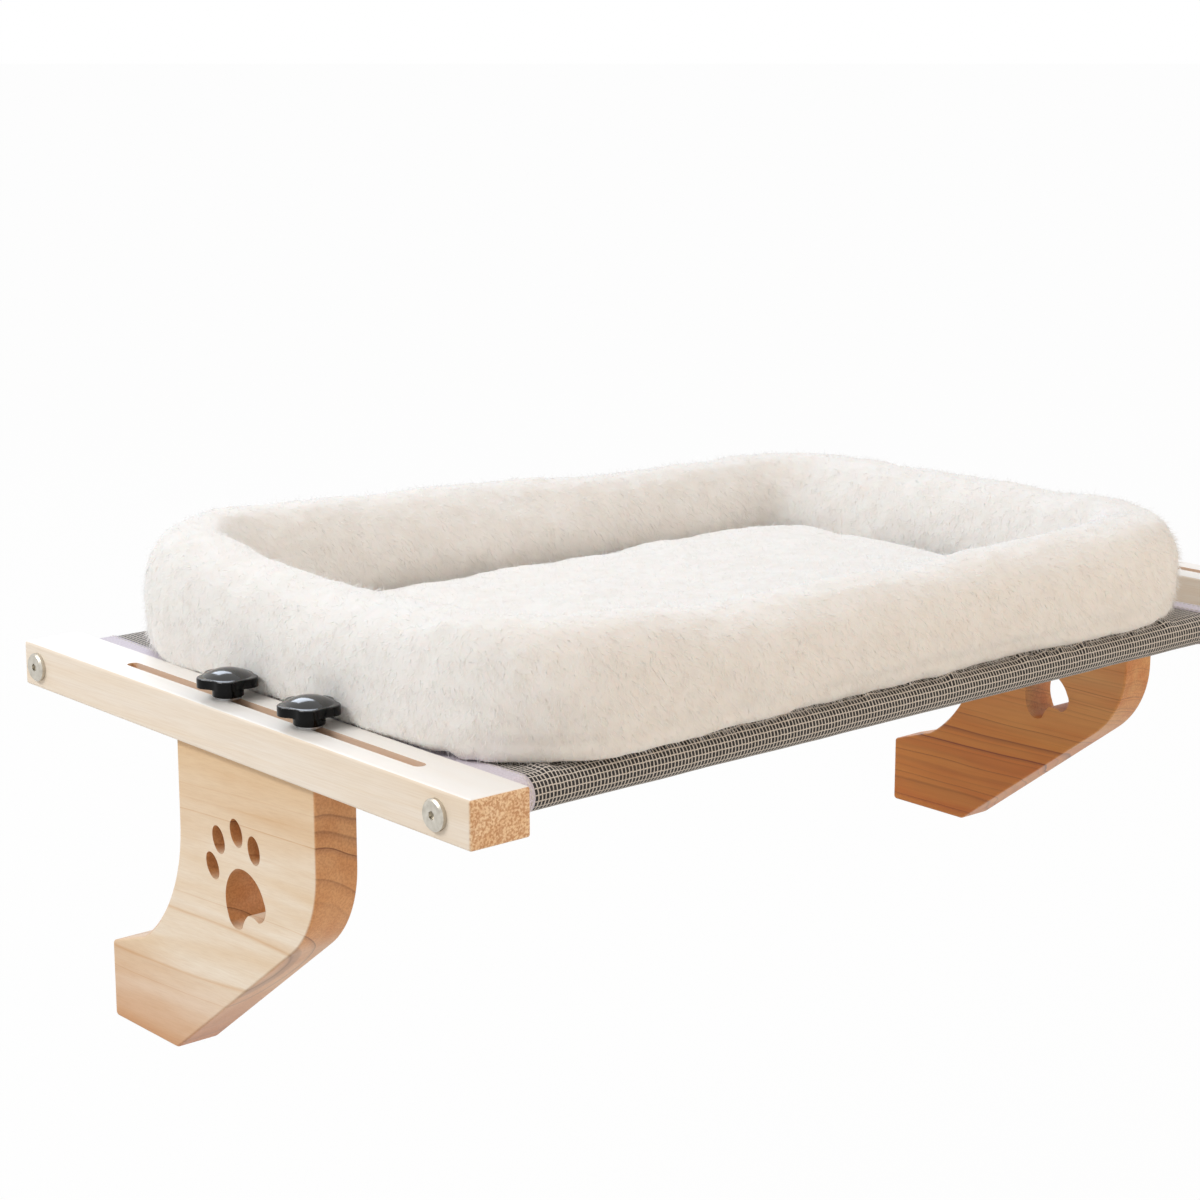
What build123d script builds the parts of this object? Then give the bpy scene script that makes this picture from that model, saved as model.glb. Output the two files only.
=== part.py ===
from build123d import *
import math
import os

# Window mounted cat perch: two slotted pine end rails joined by two cross tubes, a cloth
# hammock between the tubes with a plush bed on it, and a pine leg clamped under each rail.
# All lengths are in millimetres. X runs along the perch, Y towards the wall, Z up.
# The origin is midway along the perch, on the rails' underside, in the plane of the legs'
# upright rear edges. That is the corner in which the perch sits on a window sill.

# Whole frame
overall_length = 676.0
leg_rear_inset = 259.0

# End rails
rail_width = 36.0
rail_height = 25.0
rail_length = 410.0
rail_edge_round = 1.6
slot_width = 7.0
slot_front_margin = 59.0
slot_rear_margin = 85.0

# Cross tubes and their end plugs
tube_diameter = 16.0
tube_wall = 1.2
front_tube_inset = 25.5
rear_tube_inset = 15.0
tube_axis_height = 12.5
socket_depth = 8.0
socket_clearance = 0.05
plug_length = 22.0
plug_clearance = 0.03

# Frame bolts
bolt_diameter = 6.0
bolt_length = 46.0
bolt_hole_clearance = 0.3
bolt_head_diameter = 16.0
bolt_head_height = 3.0
bolt_head_chamfer = 1.0
bolt_key_width = 4.0
bolt_key_depth = 2.0
thread_clearance = 0.05

# Legs
leg_thickness = 26.0
leg_width = 127.0
leg_drop = 179.5
leg_edge_round = 1.4
front_corner_drop = 76.0
front_bend_radius = 60.0
foot_reach = 75.0
foot_tip_drop = 135.0
foot_base_length = 64.5
foot_corner_radius = 2.5
foot_heel_radius = 5.0
throat_straight = 48.0
throat_radius = 90.0
throat_turn = 56.0
throat_floor_radius = 20.0
throat_floor_turn = 24.0

# Paw cut-out, measured from the middle of its main pad
paw_from_rear = 61.0
paw_drop = 77.0
paw_tilt = -24.0
toe_half_width = 5.4
toe_half_height = 7.8
inner_toe_offset = 9.3
inner_toe_rise = 35.4
outer_toe_offset = 21.6
outer_toe_rise = 23.6
outer_toe_tilt = 8.0
pad_half_width = 18.5
pad_height = 31.0
pad_bottom_drop = 13.0
# Half of the pad's outline: sideways as a share of the half width, up as a share of the height
pad_side_shares = (1.0, 0.32)
pad_shoulder_shares = (0.68, 0.81)
pad_top_shares = (0.0, 1.0)
pad_lobe_shares = (0.84, 0.06)
pad_lobe_end_shares = (0.45, 0.01)
pad_notch_side_shares = (0.21, 0.13)
pad_notch_shares = (0.0, 0.18)

# Clamping knobs
stud_diameter = 6.0
stud_in_knob = 9.0
stud_front_inset = 153.5
stud_spacing = 74.0
stud_below_rail = 24.0
insert_diameter = 9.0
insert_length = 13.0
insert_clearance = 0.04
insert_bore_extra_depth = 13.0
washer_diameter = 14.0
washer_thickness = 1.2
washer_bore_clearance = 0.3
knob_diameter = 33.0
knob_lobes = 5
knob_lobe_radius = 7.0
knob_lobe_turn = 52.0
knob_star_turn = 18.0
knob_hub_diameter = 16.5
knob_hub_height = 5.8
knob_star_height = 5.2
knob_dome_height = 3.8
knob_dome_share = 0.78
knob_edge_round = 0.8

# Hammock cloth
cloth_thickness = 1.0
cloth_clearance = 0.3
cloth_near_gap = 0.5
far_bare_tube = 51.5
cloth_sag = 1.0
sleeve_seam_offset = 30.0
binding_width = 15.0
binding_proud = 0.4
binding_seam_gap = 0.3

# Plush bed
bed_near_gap = 2.0
bed_front_inset = 13.0
bed_rear_inset = 23.0
bed_lift = 0.3
bolster_thickness = 62.0
bolster_near_front_height = 72.0
bolster_near_rear_height = 74.0
bolster_far_rear_height = 62.0
bolster_far_front_height = 61.0
bolster_corner_radius = 80.0
bolster_drawn_in = 4.0
bolster_front_dip = 3.0
bolster_far_dip = 4.0
bolster_rear_dip = 1.0
bolster_near_dip = 9.0
floor_pad_thickness = 24.0
floor_pad_gap = 0.6
floor_pad_settle = 0.15
# The bolster's section: outwards as a share of half its thickness, up as a share of its height.
# The bolster stands taller at the near corners than at the far ones, and each side dips between.
bolster_foot_share = 0.76
bolster_outer_shares = ((1.0, 0.37), (0.70, 0.79))
bolster_crown_shares = ((0.07, 1.0), (-0.55, 0.82))
bolster_inner_shares = ((-0.90, 0.40), (-0.76, 0.0))
# The floor pad's layers: how far each is drawn in as a share of its half width, and its height share.
# Its corners and drawn-in sides are shares of each layer's own half width.
floor_pad_layer_shares = ((0.06, 0.0), (0.0, 0.30), (0.02, 0.62), (0.21, 0.88), (0.8, 1.0))
floor_pad_corner_share = 0.16
floor_pad_drawn_in_share = 0.05

# One length by which every cut runs past its faces
cut_overrun = 2.0

# Places worked out from the sizes above
rail_front_y = -leg_rear_inset
rail_rear_y = rail_front_y + rail_length
rail_middle_y = (rail_front_y + rail_rear_y) / 2
rail_outer_x = overall_length / 2
rail_inner_x = rail_outer_x - rail_width
rail_middle_x = rail_outer_x - rail_width / 2
tube_ys = {"front": rail_front_y + front_tube_inset, "rear": rail_rear_y - rear_tube_inset}
stud_ys = {
    "front": rail_front_y + stud_front_inset,
    "rear": rail_front_y + stud_front_inset + stud_spacing,
}
sides = {"near": -1, "far": 1}
tube_radius = tube_diameter / 2
sleeve_inner_radius = tube_radius + cloth_clearance
sleeve_outer_radius = sleeve_inner_radius + cloth_thickness
cloth_near_x = -rail_inner_x + cloth_near_gap
cloth_far_x = rail_inner_x - far_bare_tube
cloth_length = cloth_far_x - cloth_near_x
cloth_top_z = tube_axis_height + sleeve_outer_radius
bed_floor_z = cloth_top_z + binding_proud + bed_lift
bed_near_x = -rail_inner_x + bed_near_gap
bed_length = cloth_far_x - bed_near_x
bed_width = rail_length - bed_front_inset - bed_rear_inset
bed_middle_x = bed_near_x + bed_length / 2
bed_middle_y = rail_front_y + bed_front_inset + bed_width / 2
washer_top_z = rail_height + washer_thickness

nodes = {}


def cylinder_x(radius, start_x, length, y, z):
    """A round bar that starts at start_x and runs along X by length, which may be negative."""
    plane = Plane(origin=(start_x, y, z), z_dir=(math.copysign(1, length), 0, 0))
    return extrude(plane * Circle(radius), abs(length))


def cylinder_z(radius, x, y, start_z, length):
    """A round bar that starts at start_z and runs up by length."""
    return extrude(Plane.XY.offset(start_z) * Pos(x, y) * Circle(radius), length)


def end_rail(side):
    """A rail with eased edges, its slot, its bolt holes and the sockets for the tubes."""
    rail = Pos(side * rail_middle_x, rail_middle_y, rail_height / 2) * Box(
        rail_width, rail_length, rail_height
    )
    rail = fillet(rail.edges(), rail_edge_round)
    slot_length = rail_length - slot_front_margin - slot_rear_margin
    slot_y = rail_front_y + slot_front_margin + slot_length / 2
    slot = Pos(side * rail_middle_x, slot_y) * Rot(0, 0, 90) * SlotOverall(slot_length, slot_width)
    rail -= extrude(Plane.XY.offset(-cut_overrun) * slot, rail_height + 2 * cut_overrun)
    hole_radius = bolt_diameter / 2 + bolt_hole_clearance
    socket_radius = tube_radius + socket_clearance
    for y in tube_ys.values():
        start = side * (rail_outer_x + cut_overrun)
        reach = -side * (rail_width + 2 * cut_overrun)
        rail -= cylinder_x(hole_radius, start, reach, y, tube_axis_height)
        mouth = side * (rail_inner_x - cut_overrun)
        rail -= cylinder_x(socket_radius, mouth, side * (socket_depth + cut_overrun), y, tube_axis_height)
    return rail


def cross_tube(y):
    """A tube that reaches to the bottom of both rails' sockets."""
    length = 2 * (rail_inner_x + socket_depth)
    start = -length / 2
    tube = cylinder_x(tube_radius, start, length, y, tube_axis_height)
    return tube - cylinder_x(
        tube_radius - tube_wall, start - cut_overrun, length + 2 * cut_overrun, y, tube_axis_height
    )


def tube_plug(side, y):
    """A plug flush with a tube's end, bored and threaded for the frame bolt."""
    start = side * (rail_inner_x + socket_depth)
    plug = cylinder_x(tube_radius - tube_wall - plug_clearance, start, -side * plug_length, y, tube_axis_height)
    plug = chamfer(plug.edges().group_by(Axis.X)[0 if side > 0 else -1], tube_wall / 2)
    bore_start = start + side * cut_overrun
    bore_length = -side * (plug_length + 2 * cut_overrun)
    return plug - cylinder_x(bolt_diameter / 2 + thread_clearance, bore_start, bore_length, y, tube_axis_height)


def frame_bolt(side, y):
    """A bolt with a flat round head on the rail's outer face and a hex socket in it."""
    head = cylinder_x(bolt_head_diameter / 2, side * rail_outer_x, side * bolt_head_height, y, tube_axis_height)
    head = chamfer(head.edges().group_by(Axis.X)[-1 if side > 0 else 0], bolt_head_chamfer)
    shank = cylinder_x(bolt_diameter / 2, side * rail_outer_x, -side * bolt_length, y, tube_axis_height)
    shank = chamfer(shank.edges().group_by(Axis.X)[0 if side > 0 else -1], bolt_head_chamfer / 2)
    face_x = side * (rail_outer_x + bolt_head_height)
    plane = Plane(origin=(face_x, y, tube_axis_height), z_dir=(-side, 0, 0))
    key = extrude(plane * RegularPolygon(bolt_key_width / math.sqrt(3), 6), bolt_key_depth)
    return head + shank - key


def leg_outline():
    """The leg's side view, in the YZ plane, from its top rear corner round."""
    top_rear = (0, 0)
    throat_start = (0, -throat_straight)
    tip_top = (foot_reach, -foot_tip_drop)
    tip_bottom = (foot_reach, -leg_drop)
    heel = (foot_reach - foot_base_length, -leg_drop)
    front_corner = (-leg_width, -front_corner_drop)
    top_front = (-leg_width, 0)
    upright = Line(top_rear, throat_start)
    throat = JernArc(throat_start, (0, -1), throat_radius, throat_turn)
    floor_bend = JernArc(throat @ 1, throat % 1, throat_floor_radius, throat_floor_turn)
    rest = Polyline(floor_bend @ 1, tip_top, tip_bottom, heel, front_corner, top_front, top_rear)
    outline = make_face([upright, throat, floor_bend, *rest.edges()])
    for point, radius in (
        (front_corner, front_bend_radius),
        (heel, foot_heel_radius),
        (tip_top, foot_corner_radius),
        (tip_bottom, foot_corner_radius),
    ):
        corner = outline.vertices().sort_by_distance((*point, 0))[0]
        outline = fillet(corner, radius)
    return outline


def pad_point(shares, mirrored=1):
    """A point of the main pad's outline from its two shares."""
    across, up = shares
    return (mirrored * across * pad_half_width, up * pad_height - pad_bottom_drop)


def paw_outline():
    """The paw's four toes and main pad, as faces about the pad's middle."""
    edges = []
    for mirrored in (1, -1):
        edges.append(ThreePointArc(
            pad_point(pad_side_shares, mirrored),
            pad_point(pad_shoulder_shares, mirrored),
            pad_point(pad_top_shares),
        ))
        edges.append(ThreePointArc(
            pad_point(pad_side_shares, mirrored),
            pad_point(pad_lobe_shares, mirrored),
            pad_point(pad_lobe_end_shares, mirrored),
        ))
        edges.append(ThreePointArc(
            pad_point(pad_lobe_end_shares, mirrored),
            pad_point(pad_notch_side_shares, mirrored),
            pad_point(pad_notch_shares),
        ))
    faces = [make_face(edges)]
    for mirrored in (1, -1):
        toe = Ellipse(toe_half_width, toe_half_height)
        faces.append(Pos(mirrored * inner_toe_offset, inner_toe_rise) * toe)
        tilted = Rot(0, 0, -mirrored * outer_toe_tilt) * toe
        faces.append(Pos(mirrored * outer_toe_offset, outer_toe_rise) * tilted)
    return faces


def leg(side):
    """A thick plate with its paw cut through and two insert bores in its top edge."""
    start = side * rail_middle_x - leg_thickness / 2
    plate = extrude(Plane.YZ.offset(start) * leg_outline(), leg_thickness)
    flat = plate.faces().filter_by(Axis.X).edges()
    plate = fillet(flat, leg_edge_round)
    place = Pos(-paw_from_rear, -paw_drop) * Rot(0, 0, paw_tilt)
    for face in paw_outline():
        cutter = Plane.YZ.offset(start - cut_overrun) * place * face
        plate -= extrude(cutter, leg_thickness + 2 * cut_overrun)
    bore_radius = insert_diameter / 2 + insert_clearance
    bore_depth = insert_length + insert_bore_extra_depth
    for y in stud_ys.values():
        plate -= cylinder_z(bore_radius, side * rail_middle_x, y, -bore_depth, bore_depth + cut_overrun)
    return plate


def leg_insert(side, y):
    """A threaded insert, flush with the leg's top edge."""
    x = side * rail_middle_x
    body = cylinder_z(insert_diameter / 2, x, y, -insert_length, insert_length)
    bore_radius = stud_diameter / 2 + thread_clearance
    return body - cylinder_z(bore_radius, x, y, -insert_length - cut_overrun, insert_length + 2 * cut_overrun)


def washer(side, y):
    """A washer between the knob's hub and the rail's top face."""
    x = side * rail_middle_x
    bore_radius = stud_diameter / 2 + washer_bore_clearance
    disc = cylinder_z(washer_diameter / 2, x, y, rail_height, washer_thickness)
    return disc - cylinder_z(bore_radius, x, y, rail_height - cut_overrun, washer_thickness + 2 * cut_overrun)


def knob_stud(side, y):
    """The stud moulded into the knob, which goes down through the slot into the insert."""
    length = stud_in_knob + washer_thickness + rail_height + stud_below_rail
    stud = cylinder_z(stud_diameter / 2, side * rail_middle_x, y, -stud_below_rail, length)
    return chamfer(stud.edges().group_by(Axis.Z)[0], stud_diameter / 8)


def knob(side, y):
    """A star knob: a round hub, a head with rounded lobes and a low dome."""
    x = side * rail_middle_x
    lobe_centre = knob_diameter / 2 - knob_lobe_radius
    turn = math.radians(knob_lobe_turn)
    lobe_start = (lobe_centre + knob_lobe_radius * math.cos(turn), -knob_lobe_radius * math.sin(turn))
    lobe_end = (lobe_start[0], -lobe_start[1])
    pitch = 2 * math.pi / knob_lobes
    # The valley's circle touches both lobes, so its centre lies where their end lines meet
    reach = lobe_centre / (math.sin(turn) / math.tan(pitch / 2) - math.cos(turn))
    valley_centre = reach * math.sin(turn) / math.sin(pitch / 2)
    valley_depth = valley_centre - (reach - knob_lobe_radius)
    valley = (valley_depth * math.cos(pitch / 2), valley_depth * math.sin(pitch / 2))
    next_start = (
        lobe_start[0] * math.cos(pitch) - lobe_start[1] * math.sin(pitch),
        lobe_start[0] * math.sin(pitch) + lobe_start[1] * math.cos(pitch),
    )
    edges = []
    for index in range(knob_lobes):
        spin = Rot(0, 0, knob_star_turn + index * math.degrees(pitch))
        edges.append(spin * ThreePointArc(lobe_start, (knob_diameter / 2, 0), lobe_end))
        edges.append(spin * ThreePointArc(lobe_end, valley, next_start))
    star = make_face(edges)
    star_z = washer_top_z + knob_hub_height
    head = extrude(Plane.XY.offset(star_z) * Pos(x, y) * star, knob_star_height)
    head = fillet(head.edges().group_by(Axis.Z)[-1], knob_edge_round)
    dome_radius = knob_dome_share * knob_diameter / 2
    sphere_radius = (dome_radius**2 + knob_dome_height**2) / (2 * knob_dome_height)
    dome_z = star_z + knob_star_height
    ball = Pos(x, y, dome_z + knob_dome_height - sphere_radius) * Sphere(sphere_radius)
    dome = ball & cylinder_z(dome_radius, x, y, dome_z - knob_edge_round, knob_dome_height + knob_edge_round)
    hub = cylinder_z(knob_hub_diameter / 2, x, y, washer_top_z, knob_hub_height + knob_edge_round)
    hub = chamfer(hub.edges().group_by(Axis.Z)[0], knob_edge_round / 2)
    body = hub + head + dome
    return body - cylinder_z(stud_diameter / 2, x, y, washer_top_z - cut_overrun, stud_in_knob + cut_overrun)


def lower_tangent(centre, radius, point):
    """The point where a line from point touches the underside of a circle."""
    dy = point[0] - centre[0]
    dz = point[1] - centre[1]
    distance = math.hypot(dy, dz)
    turn = math.acos(radius / distance)
    angle = math.atan2(dz, dy) + (-turn if dy > 0 else turn)
    return (centre[0] + radius * math.cos(angle), centre[1] + radius * math.sin(angle))


def cloth_section(proud):
    """The cloth across the perch: a sagging panel with a sewn sleeve round each tube."""
    outer = sleeve_outer_radius + proud
    inner = sleeve_inner_radius
    front = (tube_ys["front"], tube_axis_height)
    rear = (tube_ys["rear"], tube_axis_height)
    middle = (front[0] + rear[0]) / 2
    top = ThreePointArc(
        (front[0], front[1] + outer),
        (middle, front[1] + outer - cloth_sag),
        (rear[0], rear[1] + outer),
    )
    bottom = ThreePointArc(
        (front[0], front[1] + inner),
        (middle, front[1] + inner - cloth_sag),
        (rear[0], rear[1] + inner),
    )
    section = make_face([top, bottom, Line(top @ 0, bottom @ 0), Line(top @ 1, bottom @ 1)])
    for centre, inwards in ((front, 1), (rear, -1)):
        seam_y = centre[0] + inwards * sleeve_seam_offset
        seam_share = sleeve_seam_offset / (rear[0] - front[0])
        seam_drop = 4 * cloth_sag * seam_share * (1 - seam_share)
        seam_top = (seam_y, centre[1] + inner - seam_drop + cloth_thickness / 2)
        seam_bottom = (seam_y, centre[1] + inner - seam_drop - cloth_thickness / 2)
        outer_touch = lower_tangent(centre, outer, seam_bottom)
        inner_touch = lower_tangent(centre, inner, seam_top)
        section += make_face(Polyline(outer_touch, seam_bottom, seam_top, inner_touch, close=True))
        section += Pos(*centre) * Circle(outer)
        section -= Pos(*centre) * Circle(inner)
    return section


def cloth_strip(start_x, width, proud):
    """A length of the cloth's section along X."""
    return extrude(Plane.YZ.offset(start_x) * cloth_section(proud), width)


def bolster_section(height, drawn_in):
    """The bolster's section about its middle line: flat foot, bulged side, round crown."""
    half = bolster_thickness / 2

    def scale(shares):
        return (shares[0] * half - drawn_in, shares[1] * height)

    foot_outer = scale((bolster_foot_share, 0))
    foot_inner = scale(bolster_inner_shares[1])
    shoulder = scale(bolster_outer_shares[1])
    crown_inner = scale(bolster_crown_shares[1])
    return make_face([
        Line(foot_inner, foot_outer),
        ThreePointArc(foot_outer, scale(bolster_outer_shares[0]), shoulder),
        ThreePointArc(shoulder, scale(bolster_crown_shares[0]), crown_inner),
        ThreePointArc(crown_inner, scale(bolster_inner_shares[0]), foot_inner),
    ])


def bed_bolster():
    """The plush ring: four drawn-in sides lofted between four round corners."""
    half = bolster_thickness / 2
    middle_radius = bolster_corner_radius - half
    run_x = bed_length / 2 - bolster_corner_radius
    run_y = bed_width / 2 - bolster_corner_radius
    near_front, far_front = bolster_near_front_height, bolster_far_front_height
    near_rear, far_rear = bolster_near_rear_height, bolster_far_rear_height
    ring = None
    for turn, run, offset, start_height, end_height, dip in (
        (0, run_x, run_y, near_front, far_front, bolster_front_dip),
        (90, run_y, run_x, far_front, far_rear, bolster_far_dip),
        (180, run_x, run_y, far_rear, near_rear, bolster_rear_dip),
        (270, run_y, run_x, near_rear, near_front, bolster_near_dip),
    ):
        place = Pos(bed_middle_x, bed_middle_y, bed_floor_z) * Rot(0, 0, turn)
        middle_height = (start_height + end_height) / 2 - dip
        layers = []
        for along, height, drawn_in in (
            (-run, start_height, 0),
            (0, middle_height, bolster_drawn_in),
            (run, end_height, 0),
        ):
            plane = Plane(origin=(along, -offset - middle_radius, 0), x_dir=(0, -1, 0), z_dir=(-1, 0, 0))
            layers.append(plane * bolster_section(height, drawn_in))
        side = place * loft(layers)
        end_plane = Plane(origin=(run, -offset - middle_radius, 0), x_dir=(0, -1, 0), z_dir=(-1, 0, 0))
        pivot = Axis((run, -offset, 0), (0, 0, 1))
        corner = place * revolve(end_plane * bolster_section(end_height, 0), pivot, 90)
        ring = side if ring is None else ring + side
        ring += corner
    return ring


def pad_layer(inset, z):
    """One level of the floor pad: a rectangle with drawn-in sides and round corners."""
    half_x = bed_length / 2 - bolster_thickness - floor_pad_gap - inset
    half_y = bed_width / 2 - bolster_thickness - floor_pad_gap - inset
    corner = floor_pad_corner_share * half_y
    drawn_in = floor_pad_drawn_in_share * half_y
    straight_x = half_x - corner
    straight_y = half_y - corner
    diagonal = corner * math.sqrt(0.5)
    edges = []
    for sign_x, sign_y in ((1, 1), (-1, 1), (-1, -1), (1, -1)):
        side_end = (sign_x * half_x, sign_y * straight_y)
        corner_middle = (sign_x * (straight_x + diagonal), sign_y * (straight_y + diagonal))
        edges.append(ThreePointArc(side_end, corner_middle, (sign_x * straight_x, sign_y * half_y)))
    for sign in (1, -1):
        drawn_y = sign * (half_y - drawn_in)
        drawn_x = sign * (half_x - drawn_in)
        edges.append(ThreePointArc((-straight_x, sign * half_y), (0, drawn_y), (straight_x, sign * half_y)))
        edges.append(ThreePointArc((sign * half_x, -straight_y), (drawn_x, 0), (sign * half_x, straight_y)))
    outline = make_face(edges)
    return Pos(bed_middle_x, bed_middle_y, z) * outline


def bed_floor_pad():
    """The low crowned pad inside the ring."""
    half_width = bed_width / 2 - bolster_thickness - floor_pad_gap
    layers = [
        pad_layer(inset * half_width, cloth_top_z - floor_pad_settle + rise * floor_pad_thickness)
        for inset, rise in floor_pad_layer_shares
    ]
    return loft(layers, ruled=True)


panel_inset = binding_width + binding_seam_gap
nodes["hammock_panel"] = cloth_strip(cloth_near_x + panel_inset, cloth_length - 2 * panel_inset, 0)
nodes["near_binding"] = cloth_strip(cloth_near_x, binding_width, binding_proud)
nodes["far_binding"] = cloth_strip(cloth_far_x - binding_width, binding_width, binding_proud)
nodes["bed_bolster"] = bed_bolster()
nodes["bed_floor_pad"] = bed_floor_pad()
for place, y in tube_ys.items():
    nodes[f"{place}_tube"] = cross_tube(y)
for end, side in sides.items():
    nodes[f"{end}_end_rail"] = end_rail(side)
    nodes[f"{end}_leg"] = leg(side)
    for place, y in tube_ys.items():
        nodes[f"{end}_{place}_tube_plug"] = tube_plug(side, y)
        nodes[f"{end}_{place}_frame_bolt"] = frame_bolt(side, y)
    for place, y in stud_ys.items():
        nodes[f"{end}_{place}_insert"] = leg_insert(side, y)
        nodes[f"{end}_{place}_washer"] = washer(side, y)
        nodes[f"{end}_{place}_stud"] = knob_stud(side, y)
        nodes[f"{end}_{place}_knob"] = knob(side, y)

os.makedirs("parts", exist_ok=True)
for name, solid in nodes.items():
    export_step(solid, f"parts/{name}.step")
    print(name, round(solid.volume), [round(c, 1) for c in solid.bounding_box().size])
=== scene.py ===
# %% [markdown]
# # Window mounted cat perch
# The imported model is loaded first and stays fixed: two slotted pine rails, two cross tubes, the
# sliding legs and the clamping knobs. This file dresses it. Wood, metal and plastic keep their
# solids and get a finish. The cloth and the plush bed are made here, because sewn goods need folds,
# seams and a pile that a plain solid can't carry.

# %% Load the frame
import math
import random
import bpy
import numpy as np
from mathutils import Vector, Matrix, noise


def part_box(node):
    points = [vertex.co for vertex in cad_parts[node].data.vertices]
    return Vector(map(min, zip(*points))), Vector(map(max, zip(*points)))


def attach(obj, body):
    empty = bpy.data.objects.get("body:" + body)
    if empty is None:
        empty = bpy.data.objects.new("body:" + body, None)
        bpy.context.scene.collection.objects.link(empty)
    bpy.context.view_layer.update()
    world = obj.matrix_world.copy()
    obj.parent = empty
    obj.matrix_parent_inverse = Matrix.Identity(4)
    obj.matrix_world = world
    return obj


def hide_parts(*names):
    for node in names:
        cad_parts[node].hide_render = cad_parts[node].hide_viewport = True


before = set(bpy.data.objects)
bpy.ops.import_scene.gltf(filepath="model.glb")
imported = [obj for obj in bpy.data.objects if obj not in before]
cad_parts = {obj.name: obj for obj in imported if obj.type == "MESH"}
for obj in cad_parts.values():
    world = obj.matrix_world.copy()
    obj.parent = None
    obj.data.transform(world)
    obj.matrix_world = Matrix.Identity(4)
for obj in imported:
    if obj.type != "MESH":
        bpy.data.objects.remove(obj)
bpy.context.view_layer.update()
MM = 0.001

# %% [markdown]
# Colours are written as the sRGB hex values that a colour picker shows. Blender's shaders expect
# linear values, so one function turns them. A second small function adds a node, sets its sockets and
# makes its links, which keeps each finish readable as a list of steps. Every kind of node goes
# through it, and the name in quotes is the one that Blender's own manual uses.

# %% Colour and node helpers
def linear(hex_colour):
    """An sRGB hex colour as the linear RGBA that shader sockets take."""
    parts = [int(hex_colour[i:i + 2], 16) / 255 for i in (1, 3, 5)]
    return [c / 12.92 if c <= 0.04045 else ((c + 0.055) / 1.055) ** 2.4 for c in parts] + [1.0]


def add(tree, kind, links=None, stops=(), **settings):
    """Adds a node. Links fill sockets by number or name. A setting that the node has is set on it, any
    other fills the socket of that name. Stops are a colour ramp's places and hex colours."""
    node = tree.nodes.new(kind)
    sockets = {}
    for name, value in settings.items():
        if hasattr(node, name):
            setattr(node, name, value)
        else:
            sockets[name] = value
    for name, value in {**sockets, **(links or {})}.items():
        socket = node.inputs[name] if isinstance(name, int) else node.inputs[name.replace("_", " ")]
        if isinstance(value, bpy.types.NodeSocket):
            tree.links.new(value, socket)
        else:
            socket.default_value = value
    if stops:
        points = node.color_ramp.elements
        while len(points) < len(stops):
            points.new(0.5)
        for point, (position, colour) in zip(points, stops):
            point.position = position
            point.color = linear(colour)
    return node


def new_material(name):
    """An empty node material with its output, ready for a shader."""
    material = bpy.data.materials.new(name)
    material.use_nodes = True
    material.node_tree.nodes.clear()
    return material, material.node_tree


print("linear mid grey", [round(c, 3) for c in linear("#808080")])

# %% [markdown]
# Pine is a bundle of growth rings round a pith. Where a plank is sawn along the rings they show as
# long lines, and at a sawn end as arcs. One solid pattern gives both: the distance from a pith line
# that runs along the plank, bent a little by noise and cut into rings. A flat picture of wood could
# not turn the corner between face and end like that. A few years are dark and most are faint.

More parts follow.
